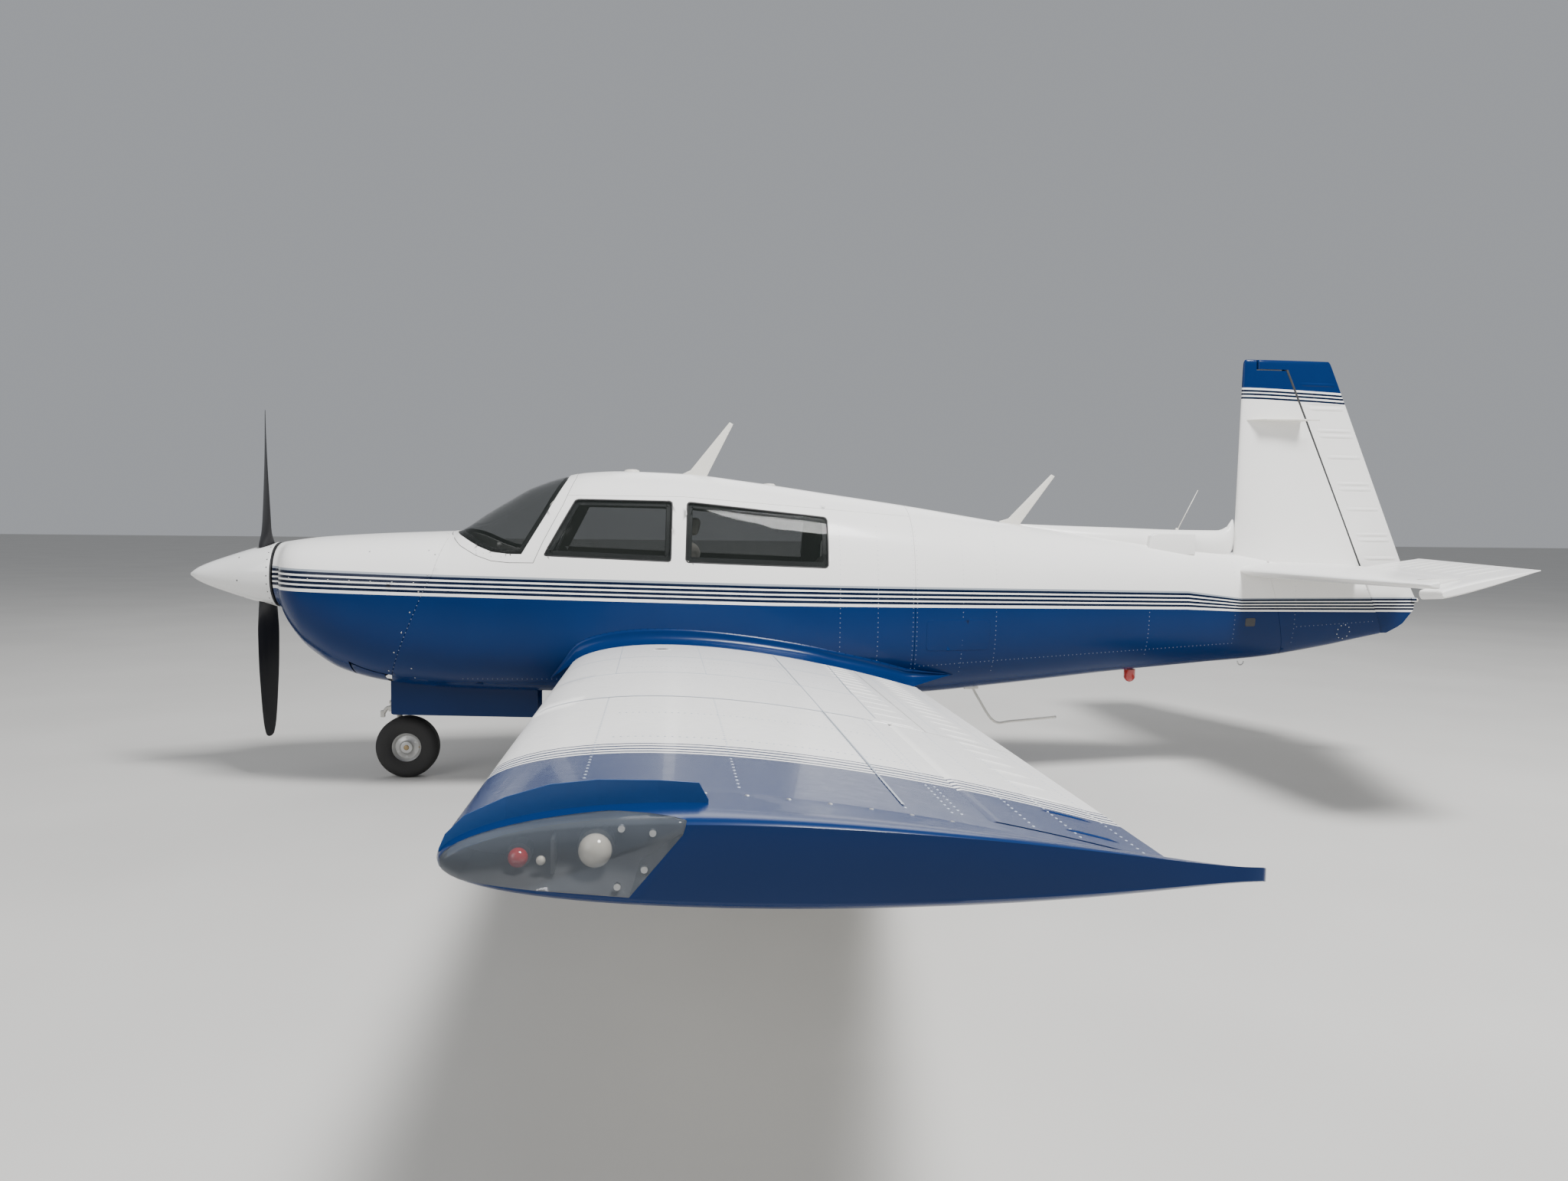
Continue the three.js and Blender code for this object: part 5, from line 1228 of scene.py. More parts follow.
for side_name, side in SIDES:
    outs = [(0.25, "full", 0.0), (0.628, "full", 0.0), (0.628, "flap", 0.0)]
    for start, end, proud in [(0.628, 2.88, 0.0), (2.881, 3.819, 0.0012)]:
        steps = round((end - start) / 0.16)
        outs += [(start + (end - start) * k / steps, "flap", proud)
                 for k in range(1 if proud == 0 else 0, steps + 1)]
    outs += [(3.820, "flap", 0.0), (3.820, "aileron", 0.0)]
    outs += [(3.820 + (5.237 - 3.820) * k / 10, "aileron", 0.0) for k in range(1, 11)]
    outs += [(5.237, "full", 0.0), (5.3, "full", 0.0)]
    bm = loft([wing_ring(side, *row) for row in outs], caps=True)
    well = WELL + leg_slot
    score(bm, [(x, side * y) for x, y in well], flat=2, only=lambda face: face.normal.z < -0.5)
    floor_faces = [face for face in bm.faces if face.normal.z < -0.5
                   and inside(well, face.calc_center_median().x, abs(face.calc_center_median().y))]
    bmesh.ops.delete(bm, geom=floor_faces, context="FACES")
    rim = [edge for edge in bm.edges if edge.is_boundary]
    raised = bmesh.ops.extrude_edge_only(bm, edges=rim)["geom"]
    for vertex in of_kind(raised, bmesh.types.BMVert):
        vertex.co.z = WELL_ROOF
    bmesh.ops.holes_fill(bm, edges=[edge for edge in bm.edges if edge.is_boundary])
    bmesh.ops.recalc_face_normals(bm, faces=bm.faces)
    sharpen(bm)
    finish(f"{side_name}_wing_skin", bm, "airframe", wing_paint, [f"wing_{side_name}"])
    for name, (start, end), laps in (("flap", FLAP, 16), ("aileron", AILERON, 8)):
        rings = [panel_ring(side, start + (end - start) * k / laps, name) for k in range(laps + 1)]
        bm = loft(rings, caps=True)
        sharpen(bm)
        finish(f"{side_name}_{name}_skin", bm, f"{name}_{side_name}", wing_paint,
               [f"{name}_{side_name}"])

# Ribs and spars show as rows of rivet heads. The skins behind the rear spar are stiffened by
# pressed beads, and where two skins meet one laps over the other.


def ridge(bm, points, facing, width, height):
    """A raised bead along a line on a surface, flat at its two ends."""
    points = [Vector(point) for point in points]
    rings = []
    for index, point in enumerate(points):
        heading = (points[min(index + 1, len(points) - 1)] - points[max(index - 1, 0)]).normalized()
        across = heading.cross(facing).normalized()
        lift = height if 0 < index < len(points) - 1 else 0.0
        rings.append([point + across * width * (k / 2 - 1) + facing * lift * (1, 0.75, 0)[abs(k - 2)]
                      for k in range(5)])
    mesh_into(bm, loft(rings, closed=False))


def wing_facing(side, out, share, over):
    """The way the wing's skin faces."""
    here = wing_point(side, out, share, over)
    run = wing_point(side, out, share + 0.01, over) - here
    facing = run.cross(wing_point(side, out + 0.02, share, over) - here).normalized()
    return facing if facing.z * over > 0 else -facing


# Rows along the span: inner and outer end, and share of the chord at each
RIVET_ROWS = [(0.70, 5.25, 0.150, 0.165), (0.70, 5.25, 0.360, 0.375), (0.70, 5.25, 0.560, 0.605),
              (0.70, 3.80, 0.736, 0.704),
              (3.84, 5.22, 0.690, 0.690), (3.84, 5.22, 0.676, 0.676), (0.70, 3.80, 0.790, 0.790)]
for side_name, side in SIDES:
    heads = bmesh.new()
    for over in (1, -1):
        spots = []
        for inner, outer, start, end in RIVET_ROWS:
            if over < 0 and start > 0.7:
                continue
            for out, share in along([(inner, start), (outer, end)], 0.032):
                along_well = wing_point(1, out, share, -1).x - NOSE_TIP - MAIN_AXLE
                if over > 0 or math.hypot(along_well, out - WELL_OUT) > NO_RIVETS:
                    spots.append((wing_point(side, out, share, over), wing_facing(side, out, share, over)))
        for out in (0.95, 1.35, 1.75, 2.15, 2.55, 2.87, 3.30, 3.80, 4.25, 4.70):
            for share in (0.19 + 0.012 * k for k in range(int(0.50 / 0.012))):
                clear = abs(wing_point(1, out, share, -1).x - NOSE_TIP - MAIN_AXLE) > NO_RIVETS or out > 1.5
                if share < 0.68 and (over > 0 or clear):
                    spots.append((wing_point(side, out, share, over), wing_facing(side, out, share, over)))
        studs(heads, spots, 0.0026, 0.0009)
    finish(f"{side_name}_wing_rivets", heads, "airframe", rivet_heads, smooth=False)
    beads, laps = bmesh.new(), bmesh.new()
    for out in (0.78 + 0.23 * k for k in range(14)):
        line = [wing_point(side, out, 0.712 + 0.085 * k / 6, 1, 0.0002) for k in range(7)]
        ridge(beads, line, wing_facing(side, out, 0.75, 1), 0.006, 0.0024)
    finish(f"{side_name}_wing_beads", beads, "airframe", wing_paint)
    for out, end in ((1.88, 0.79), (2.882, 0.79), (3.822, 0.70)):
        lap = [wing_point(side, out, 0.02 + (end - 0.02) * (k / 20) ** 1.4, 1, 0.0014) for k in range(21)]
        ridge(laps, lap, wing_facing(side, out, 0.4, 1), 0.0024, 0.0010)
    for start, end in ((0.575, 0.605), (0.735, 0.706)):
        length, limit = (3.80, 3.81) if start > 0.7 else (4.55, 5.24)
        seam = [wing_point(side, 0.68 + length * k / 20, start + (end - start) * k / 20, 1, 0.0014)
                for k in range(21)]
        seam = [point for point in seam if abs(point.y) < limit]
        ridge(laps, seam, wing_facing(side, 2.5, start, 1), 0.0022, 0.0010)
    finish(f"{side_name}_wing_laps", laps, "airframe", rivet_heads)
    for name, (start, end), gap in (("flap", FLAP, 0.20), ("aileron", AILERON, 0.175)):
        heads = bmesh.new()
        for share in (0.845, 0.955) if name == "flap" else (0.80, 0.87, 0.965):
            spots = [(wing_point(side, out, share, 1), wing_facing(side, out, share, 1))
                     for out, _ in along([(start + 0.03, 0), (end - 0.03, 0)], 0.032)]
            studs(heads, spots, 0.0026, 0.0009)
        beads = bmesh.new()
        for out, _ in along([(start + 0.08, 0), (end - 0.08, 0)], gap):
            line = [wing_point(side, out, 0.86 + 0.08 * k / 5, 1, 0.0002) for k in range(6)]
            ridge(beads, line, wing_facing(side, out, 0.9, 1), 0.006, 0.0022)
        finish(f"{side_name}_{name}_beads", beads, f"{name}_{side_name}", wing_paint)
        finish(f"{side_name}_{name}_rivets", heads, f"{name}_{side_name}", rivet_heads, smooth=False)

# The blue fillet where the wing meets the body is a hollow-curved sheet, screwed along its
# edges. It rolls round the wing's front and runs out to a point behind it.


def face_up(bm):
    """Turns a sheet's faces upwards."""
    if sum(face.normal.z for face in bm.faces) < 0:
        bmesh.ops.reverse_faces(bm, faces=bm.faces)


for side_name, side in SIDES:
    rings = []
    shares = [0.004 + 0.986 * (k / 44) ** 1.25 for k in range(45)]
    for share in shares:
        out = 0.662 if share < 0.70 else 0.662 - 0.040 * min(1.0, (share - 0.70) / 0.06)
        start = wing_point(side, out, share, 1, 0.0015)
        station = start.x - NOSE_TIP
        height = start.z + 0.078
        corner = Vector((start.x, side * (side_of(station, start.z) + 0.002), start.z + 0.003))
        end = Vector((start.x, side * (side_of(station, height) + 0.0012), height))
        rings.append([start * (1 - t) ** 2 + corner * 2 * t * (1 - t) + end * t * t
                      for t in (k / 8 for k in range(9))])
    ends = []
    for edge_ring, reach, meeting in ((rings[0], -0.130, 0.640), (rings[-1], 0.290, 0.642)):
        run_out = []
        for k in range(1, 8):
            t = k / 7
            station = edge_ring[0].x - NOSE_TIP + reach * t
            ring = []
            for point in edge_ring:
                height = point.z + (meeting - point.z) * t
                flush = side_of(station, height) + 0.0012
                ring.append(spot(station, side * (flush + (abs(point.y) - flush) * (1 - t) ** 1.2), height))
            run_out.append(ring)
        ends.append(run_out)
    rings = ends[0][::-1] + rings + ends[1]
    fillet = loft(rings, closed=False)
    face_up(fillet)
    finish(f"{side_name}_root_fillet", fillet, "airframe", body_paint, thickness=0.0012)
    heads = bmesh.new()
    for index in (0, 8):
        spots = []
        for ring in rings[8:-6]:
            facing = Vector((0, 0, 1)) if index == 0 else Vector((0, side, 0.12)).normalized()
            spots.append((ring[index], facing))
        studs(heads, spots, 0.0032, 0.0013)
    finish(f"{side_name}_fillet_screws", heads, "airframe", body_paint)

# Wing tips: blue moulded caps. The front corner is a clear cover over a coloured position
# lamp and a strobe, which a thin upright plate hides from the pilot's eyes.
LENS_PLAN = [(2.300, 5.510), (2.430, 5.490), (2.530, 5.468), (2.629, 5.449), (2.680, 5.470), (2.735, 5.5015),
             (2.735, 5.530), (2.300, 5.530)]
LENS_SIDE = [(2.300, 1.085), (2.430, 1.092), (2.545, 1.076), (2.654, 1.065), (2.718, 1.140), (2.735, 1.200),
             (2.300, 1.200)]
cover_glass, cover_shader, cover_signal, cover_where = new_material("clear_cover", IOR=1.45, Alpha=0.24,
                                                                    Specular_IOR_Level=0.6)
cover_haze = cover_signal.noise(cover_where, 12.0)
feed(cover_shader, Base_Color=cover_haze.tint(colour(0.12, 0.14, 0.17), colour(0.20, 0.23, 0.27)),
     Roughness=0.03 + cover_haze * 0.05)
lamp_red = plain("lamp_red", (0.42, 0.012, 0.010), (0.52, 0.020, 0.014), 0.14, 0.01, 0.0002, Coat_Weight=1.0)
lamp_green = plain("lamp_green", (0.008, 0.22, 0.09), (0.012, 0.30, 0.12), 0.14, 0.01, 0.0002,
                   Coat_Weight=1.0)
lamp_clear = plain("lamp_clear", (0.74, 0.68, 0.56), (0.82, 0.77, 0.66), 0.10, 0.01, 0.0002, Coat_Weight=1.0)
vane_blue = plain("vane_blue", (0.006, 0.050, 0.170), (0.008, 0.060, 0.210), 0.5, 0.01)
# Columns: station, distance out, height, height of the plate's top
GLARE_VANE = [(2.4275, 5.468, 1.116, 1.120), (2.434, 5.463, 1.119, 1.136), (2.455, 5.455, 1.128, 1.156),
              (2.502, 5.438, 1.140, 1.174), (2.555, 5.425, 1.147, 1.186), (2.613, 5.415, 1.150, 1.189),
              (2.688, 5.405, 1.150, 1.185), (2.740, 5.401, 1.149, 1.180), (2.752, 5.400, 1.149, 1.158)]


def ball(bm, centre, radius, around=20, rings=12):
    """A round lamp at a place."""
    bmesh.ops.create_uvsphere(bm, u_segments=around, v_segments=rings, radius=radius,
                              matrix=Matrix.Translation(centre))


for side_name, side in SIDES:
    outs = [5.3004, 5.325, 5.35, 5.375, 5.400, 5.420, 5.440, 5.455, 5.468, 5.478, 5.486, 5.4925, 5.497, 5.5]
    tips = [loft([wing_ring(side, out, "full", fore=34, rear=24) for out in outs], caps=True)
            for _ in range(2)]
    plan = [(NOSE_TIP + s, side * y) for s, y in LENS_PLAN]
    flank = side_view(LENS_SIDE)
    for bm, is_lens in zip(tips, (False, True)):
        score(bm, plan, 2)
        score(bm, flank, 1, only=lambda face: abs(face.calc_center_median().y) > 5.44)
        gone = []
        for face in bm.faces:
            middle = face.calc_center_median()
            if (inside(plan, middle.x, middle.y) and inside(flank, middle.x, middle.z)) != is_lens:
                gone.append(face)
        bmesh.ops.delete(bm, geom=gone, context="FACES")
    tip, lens = tips
    rim = [edge for edge in tip.edges if edge.is_boundary]
    outside = set(tip.faces)
    pushed = bmesh.ops.extrude_edge_only(tip, edges=rim)["geom"]
    rim = of_kind(pushed, bmesh.types.BMEdge)
    for vertex in of_kind(pushed, bmesh.types.BMVert):
        vertex.co.y -= side * 0.070
        vertex.co.x += 0.012
        vertex.co.z += (1.118 - vertex.co.z) * 0.45
    bmesh.ops.holes_fill(tip, edges=rim)
    for face in tip.faces:
        face.material_index = 0 if face in outside else 1
    bmesh.ops.recalc_face_normals(tip, faces=tip.faces)
    sharpen(tip)
    cap = finish(f"{side_name}_tip_cap", tip, "airframe", wing_paint, [f"wing_tip_{side_name}"])
    cap.data.materials.append(moulding)
    bmesh.ops.recalc_face_normals(lens, faces=lens.faces)
    finish(f"{side_name}_tip_lens", lens, "airframe", cover_glass, thickness=0.0018)
    rings = []
    for s, y, z, top in GLARE_VANE:
        rings.append([spot(s, side * (y + across), height) for across, height in
                      ((-0.00125, z - 0.012), (-0.00125, top), (0.00125, top), (0.00125, z - 0.012))])
    finish(f"{side_name}_glare_vane", loft(rings, caps=True), "airframe", vane_blue, smooth=False)
    bm = bmesh.new()
    ball(bm, spot(2.520, side * 5.465, 1.106), 0.0125)
    finish(f"{side_name}_position_lamp", bm, "airframe", lamp_red if side < 0 else lamp_green)
    bm = bmesh.new()
    ball(bm, spot(2.612, side * 5.462, 1.112), 0.021)
    ball(bm, spot(2.548, side * 5.472, 1.104), 0.006, 14, 8)
    finish(f"{side_name}_strobe_lamp", bm, "airframe", lamp_clear)
    bm = bmesh.new()
    block(bm, spot(2.560, side * 5.430, 1.088), spot(2.564, side * 5.476, 1.130))
    for s, y, z, radius in ((2.520, 5.455, 1.106, 0.015), (2.612, 5.448, 1.112, 0.023)):
        rod(bm, spot(s, side * (y - 0.030), z), spot(s, side * y, z), radius)
    finish(f"{side_name}_lamp_mount", bm, "airframe", moulding, smooth=False)
    bm = bmesh.new()
    shares = [0.05 + 0.055 * k for k in range(12)]
    spots = [(wing_point(side, 5.318, share, over), wing_facing(side, 5.318, share, over))
             for over in (1, -1) for share in shares]
    studs(bm, spots, 0.0038, 0.0013)
    for s, z in ((2.645, 1.148), (2.682, 1.142), (2.672, 1.098), (2.640, 1.078)):
        rod(bm, spot(s, side * 5.492, z), spot(s, side * 5.4995, z), 0.0042, sides=14)
    finish(f"{side_name}_tip_screws", bm, "airframe", steel, smooth=False)

# Tail: the fin and rudder, and the tailplane and its elevators, are sheet over ribs. Each
# moving surface has a round nose that turns in a hollow behind the fixed one, and its outer
# end carries a horn that reaches forward.
CAP_LINES = [(0.27, 0.41), (0.50, 0.64), (0.76, 0.90)]


def tail_pattern(signal, place):
    x, _, z = place
    blue, grey, lines = body_pattern(signal, place)
    top = (x - NOSE_TIP - 6.284) * -0.031 + 2.400  # the cap's upper line falls a little backwards
    share = (top - z) / 0.09
    return blue + (share < 0.13), grey, sum((between(share, *line) for line in CAP_LINES), lines)


tail_paint = paint("tail_paint", tail_pattern)
FIN_SECTIONS = [
    # height, front, back, thickness
    (0.853, 6.900, 7.310, 0.062),
    (0.905, 6.500, 7.412, 0.088),
    (1.000, 6.300, 7.488, 0.104),
    (1.070, 6.260, 7.500, 0.108),
    (1.216, 6.258, 7.425, 0.110),
    (1.573, 6.267, 7.274, 0.100),
    (2.470, 6.284, 6.895, 0.062),
    (2.545, 6.288, 6.862, 0.055),
    (2.558, 6.294, 6.852, 0.044),
    (2.562, 6.300, 6.845, 0.030),
]
TAILPLANE_SECTIONS = [
    # distance out, front, back, thickness
    (0.020, 6.2388, 7.4556, 0.105),
    (1.760, 6.3102, 6.9023, 0.050),
    (1.783, 6.3140, 6.8980, 0.041),
    (1.790, 6.3200, 6.8920, 0.0288),
]


def foil_half(row, station):
    """Half the thickness of a tail section at a station."""
    front, back, thickness = row
    share = min(1.0, max(0.0, (station - front) / (back - front)))
    return max(half_section(share) * thickness, 0.0015 if share > 0.5 else 0.0)


def fixed_ring(place, row, hinge, reach, stretch, end=None):
    """Round the fixed part: one skin to the front edge, the other skin back, then the hollow."""
    hollow = end is None
    if hollow:
        end = hinge
        for _ in range(8):
            end = hinge - stretch * math.sqrt(max(0.0, reach ** 2 - foil_half(row, end) ** 2))
    fan = [0.5 + 0.5 * math.cos(math.pi * k / 22) for k in range(22)]
    stations = [row[0] + (end - row[0]) * share for share in fan]
    points = [place(s, foil_half(row, s)) for s in stations] + [place(row[0], 0.0)]
    points += [place(s, -foil_half(row, s)) for s in reversed(stations)]
    half = foil_half(row, end)
    spread = math.asin(min(1.0, half / reach))
    for k in range(1, 10):
        angle = spread * (k / 5 - 1)
        if hollow:
            points.append(place(hinge - stretch * reach * math.cos(angle), reach * math.sin(angle)))
        else:
            points.append(place(end, half * (k / 5 - 1)))
    return points


def moving_ring(place, row, hinge, radius, stretch, horn=None):
    """Round the moving part: its nose, then one skin to the rear edge and the other skin back."""
    points = []
    for k in range(13):
        angle = math.pi * (0.5 + k / 12)
        if horn is None:
            s = hinge + stretch * radius * math.cos(angle)
            half = min(radius * abs(math.sin(angle)), foil_half(row, s))
        else:
            s = horn + 0.014 * (1 + math.cos(angle))
            half = foil_half(row, s) * abs(math.sin(angle))
        points.append(place(s, math.copysign(half, math.sin(angle))))
    start = hinge if horn is None else horn + 0.014
    stations = [start + (row[1] - start) * k / 14 for k in range(1, 15)]
    points += [place(s, -foil_half(row, s)) for s in stations]
    points += [place(s, foil_half(row, s)) for s in reversed(stations)]
    return points


def rudder_hinge(height):
    return 6.577 + (2.503 - height) * 0.436


def at_height(height):
    return lambda station, across: spot(station, across, height)


def fin_ring(shape, height, *measures, **end):
    """One ring of the fin or the rudder."""
    return shape(at_height(height), straight(FIN_SECTIONS, height), *measures, **end)


fin_heights = [1.215 + (2.495 - 1.215) * k / 20 for k in range(21)]
rings = [fin_ring(fixed_ring, z, rudder_hinge(z), 0.0365, 1.091) for z in fin_heights]
horn_heights = (2.495, 2.51, 2.53, 2.545, 2.553, 2.558, 2.562)
rings += [fin_ring(fixed_ring, z, 0, 0.04, 1, end=6.362) for z in horn_heights]
bm = loft(rings, caps=True)
sharpen(bm)


def paint_gap_shade(piece, is_gap):
    """Paints the hollow of a hinge joint dark grey as painted shade, for the shade that falls deep in the
    joint.
    """
    piece.data.materials.append(moulding)
    for face in piece.data.polygons:
        face.material_index = 1 if is_gap(face.center) else 0


def in_fin_gap(at):
    station = at.x - NOSE_TIP
    return (rudder_hinge(at.z) - 0.042 < station < rudder_hinge(at.z) + 0.002
            and abs(at.y) < foil_half(straight(FIN_SECTIONS, at.z), station) - 0.0009
            and 1.216 < at.z < 2.495)


# The fin's hinge hollow here, and the rudder's nose in it below, carry painted shade.
paint_gap_shade(finish("fin_skin", bm, "airframe", tail_paint, ["fin"]), in_fin_gap)
rudder_heights = [0.853, 0.870, 0.890, 0.915, 0.950, 1.000, 1.045, 1.070, 1.100, 1.160]
rudder_heights += [1.216 + (2.503 - 1.216) * k / 18 for k in range(19)]
rings = [fin_ring(moving_ring, z, rudder_hinge(z), 0.030, 1.091) for z in rudder_heights]
horn_heights = (2.503, 2.52, 2.535, 2.545, 2.553, 2.558, 2.562)
rings += [fin_ring(moving_ring, z, 0, 0.03, 1, horn=6.370) for z in horn_heights]
bm = loft(rings, caps=True)
TAIL_LAMP = 1.064  # its height
rod(bm, spot(7.470, 0, TAIL_LAMP), spot(7.502, 0, TAIL_LAMP), 0.016)
sharpen(bm)
paint_gap_shade(finish("rudder_skin", bm, "rudder", tail_paint, ["rudder"]), in_fin_gap)
bm = bmesh.new()
rod(bm, spot(7.502, 0, TAIL_LAMP), spot(7.512, 0, TAIL_LAMP), 0.0135)
ball(bm, spot(7.5073, 0, TAIL_LAMP), 0.0125, 18, 10)
finish("tail_lamp", bm, "rudder", lamp_clear)

beads, heads = bmesh.new(), bmesh.new()
for side in (-1, 1):
    for z in (2.415, 2.300, 2.265, 2.130, 2.095, 1.965, 1.800,
              1.765, 1.640, 1.480, 1.445, 1.330, 1.270, 1.215):
        row = straight(FIN_SECTIONS, z)
        start, end = rudder_hinge(z) + (0.10 if z < 1.30 else 0.035), row[1] - 0.025
        stations = [start + (end - start) * k / 8 for k in range(9)]
        points = [spot(s, side * (foil_half(row, s) + 0.0002), z) for s in stations]
        ridge(beads, points, Vector((0, side, 0)), 0.013, 0.0042)
    spots = []
    for z in (1.32 + 0.030 * k for k in range(39)):
        row = straight(FIN_SECTIONS, z)
        for s in (6.395, rudder_hinge(z) - 0.115, rudder_hinge(z) - 0.060):
            spots.append((spot(s, side * foil_half(row, s), z), Vector((0, side, 0))))
    studs(heads, spots, 0.0024, 0.0008)
finish("rudder_beads", beads, "rudder", tail_paint)
finish("fin_rivets", heads, "airframe", tail_paint, smooth=False)


TAILPLANE_HEIGHT = 1.250


def tailplane_hinge(out):
    return 7.100 - 0.296 * out


def at_out(side, out):
    return lambda station, across: spot(station, side * out, TAILPLANE_HEIGHT + across)


def nose_of_elevator(out):
    return 0.033 - 0.009 * (out - 0.16) / 1.63


def tailplane_ring(shape, side, out, *measures, **end):
    """One ring of a tailplane's half or of its elevator."""
    return shape(at_out(side, out), straight(TAILPLANE_SECTIONS, out), *measures, **end)


def in_tailplane_gap(at):
    station, out = at.x - NOSE_TIP, abs(at.y)
    return (station > tailplane_hinge(out) - 0.042 and out < 1.612
            and abs(at.z - TAILPLANE_HEIGHT) < foil_half(straight(TAILPLANE_SECTIONS, out), station) - 0.0009)


for side_name, side in SIDES:
    outs = [0.020 + (1.612 - 0.020) * k / 16 for k in range(17)]
    rings = [tailplane_ring(fixed_ring, side, y, tailplane_hinge(y), nose_of_elevator(y) + 0.0065, 1.043)
             for y in outs]
    horn_outs = (1.612, 1.68, 1.74, 1.76, 1.775, 1.783, 1.788, 1.790)
    rings += [tailplane_ring(fixed_ring, side, y, 0, 0.04, 1, end=6.367) for y in horn_outs]
    bm = loft(rings, caps=True)
    sharpen(bm)
    # The tailplane's hinge hollow carries painted shade.
    paint_gap_shade(finish(f"{side_name}_tailplane_skin", bm, "airframe", body_paint,
                    [f"stabilizer_{side_name}"]),
             in_tailplane_gap)
    outs = [0.160 + (1.620 - 0.160) * k / 16 for k in range(17)]
    rings = [tailplane_ring(moving_ring, side, y, tailplane_hinge(y), nose_of_elevator(y), 1.043)
             for y in outs]
    horn_outs = (1.620, 1.68, 1.74, 1.76, 1.775, 1.783, 1.788, 1.790)
    rings += [tailplane_ring(moving_ring, side, y, 0, 0.03, 1, horn=6.375) for y in horn_outs]
    bm = loft(rings, caps=True)
    # The elevators' rear edges stand 14 degrees up, as those of the CAD pieces do, and the turn
    # is about the slanted hinge lines.
    axis = Vector((-0.296, side, 0)).normalized()
    start = spot(7.100, 0, TAILPLANE_HEIGHT)
    turn = Matrix.Rotation(math.radians(-14 * side), 4, axis)
    tilt = Matrix.Translation(start) @ turn @ Matrix.Translation(-start)
    beads = bmesh.new()
    for y in (0.24, 0.40, 0.56, 0.72, 0.88, 1.04, 1.20, 1.36, 1.52):
        row = straight(TAILPLANE_SECTIONS, y)
        begin, end = tailplane_hinge(y) + 0.035, row[1] - 0.025
        stations = [begin + (end - begin) * k / 6 for k in range(7)]
        for over in (-1, 1):
            points = [spot(s, side * y, TAILPLANE_HEIGHT + over * (foil_half(row, s) + 0.0002))
                      for s in stations]
            ridge(beads, points, Vector((0, 0, over)), 0.011, 0.0036)
    for surface, label, nodes in ((bm, "skin", [f"elevator_{side_name}"]), (beads, "beads", [])):
        bmesh.ops.transform(surface, matrix=tilt, verts=surface.verts)
        if label == "skin":
            sharpen(surface)
        finish(f"{side_name}_elevator_{label}", surface, f"elevator_{side_name}", body_paint, nodes)
    heads = bmesh.new()
    spots = []
    for over in (-1, 1):
        for y in (0.24 + 0.032 * k for k in range(43)):
            row = straight(TAILPLANE_SECTIONS, y)
            for s in (row[0] + 0.10, tailplane_hinge(y) - 0.105, tailplane_hinge(y) - 0.052):
                head = spot(s, side * y, TAILPLANE_HEIGHT + over * foil_half(row, s))
                spots.append((head, Vector((0, 0, over))))
    studs(heads, spots, 0.0024, 0.0008)
    finish(f"{side_name}_tailplane_rivets", heads, "airframe", body_paint, smooth=False)

# The long fillet that runs up to the fin is one pressed aluminium hood. It lies on top of the
# tail cone and is riveted to it along its lower edges.
DORSAL = [
    # station, top, half width
    (4.860, 1.524, 0.014), (5.100, 1.517, 0.062), (5.500, 1.508, 0.088), (5.900, 1.498, 0.082),
    (6.150, 1.497, 0.062), (6.215, 1.520, 0.044), (6.248, 1.568, 0.030),
]
rings = []
for k in range(49):
    station = 4.860 + (6.248 - 4.860) * k / 48
    _, top, half = eased(DORSAL, station)
    ring = []
    for angle in (2 * math.pi * j / 32 for j in range(32)):
        depth = 0.090 if math.sin(angle) > 0 else 0.108
        ring.append(spot(station, half * math.cos(angle), top - 0.090 + depth * math.sin(angle)))
    rings.append(ring)
finish("dorsal_hood", loft(rings, caps=True), "airframe", tail_paint, ["dorsal_fairing"])

# Aerials, beacon, a small air duct and other fittings along the body: blades and pods of
# moulded plastic or bent rod, each bolted to the skin.


def plate(bm, outline, half, edge=0.002, axis=1, middle=0.0):
    """A flat plate with rounded edges: its outline seen from the side, and its half thickness."""
    corners = []
    for first, second in outline:
        point = Vector((first, 0, second)) if axis == 1 else Vector((first, second, 0))
        point[axis] = middle - half
        corners.append(bm.verts.new(point))
    face = bm.faces.new(corners)
    raised = bmesh.ops.extrude_face_region(bm, geom=[face])["geom"]
    moved = of_kind(raised, bmesh.types.BMVert)
    shift = Vector((0, 0, 0))
    shift[axis] = 2 * half
    bmesh.ops.translate(bm, vec=shift, verts=moved)
    rims = {item for vertex in corners + moved for item in vertex.link_edges}
    if edge:
        bmesh.ops.bevel(bm, geom=list(rims), offset=edge, affect="EDGES", segments=3, profile=0.5,
                        material=-1)
    bmesh.ops.recalc_face_normals(bm, faces=bm.faces)


aerial_cream = plain("aerial_cream", (0.70, 0.68, 0.62), (0.76, 0.74, 0.68), 0.35, 0.01)
for name, corners in (
    ("roof_aerial", [(2.800, 1.752), (2.940, 1.752), (2.952, 1.794), (3.104, 2.098), (3.082, 2.110),
                     (2.852, 1.822), (2.798, 1.796)]),
    ("tail_aerial", [(4.746, 1.500), (4.868, 1.500), (4.880, 1.530), (5.090, 1.819), (5.068, 1.830),
                     (4.802, 1.556), (4.746, 1.540)]),
):
    bm = bmesh.new()
    plate(bm, side_view(corners), 0.0075, 0.0035)
    finish(f"{name}_blade", bm, "airframe", aerial_cream, [name])
bm = bmesh.new()
rod(bm, spot(5.886, 0, 1.490), spot(6.017, 0, 1.747), 0.0035, 0.0018, 10)
rod(bm, spot(5.884, 0, 1.490), spot(5.890, 0, 1.508), 0.012, 0.008, 14)
FIN_AERIALS = 2.185  # their height
blade_plan = [(6.300, 0.010), (6.400, 0.105), (6.640, 0.125), (6.660, 0.118), (6.660, 0.010)]
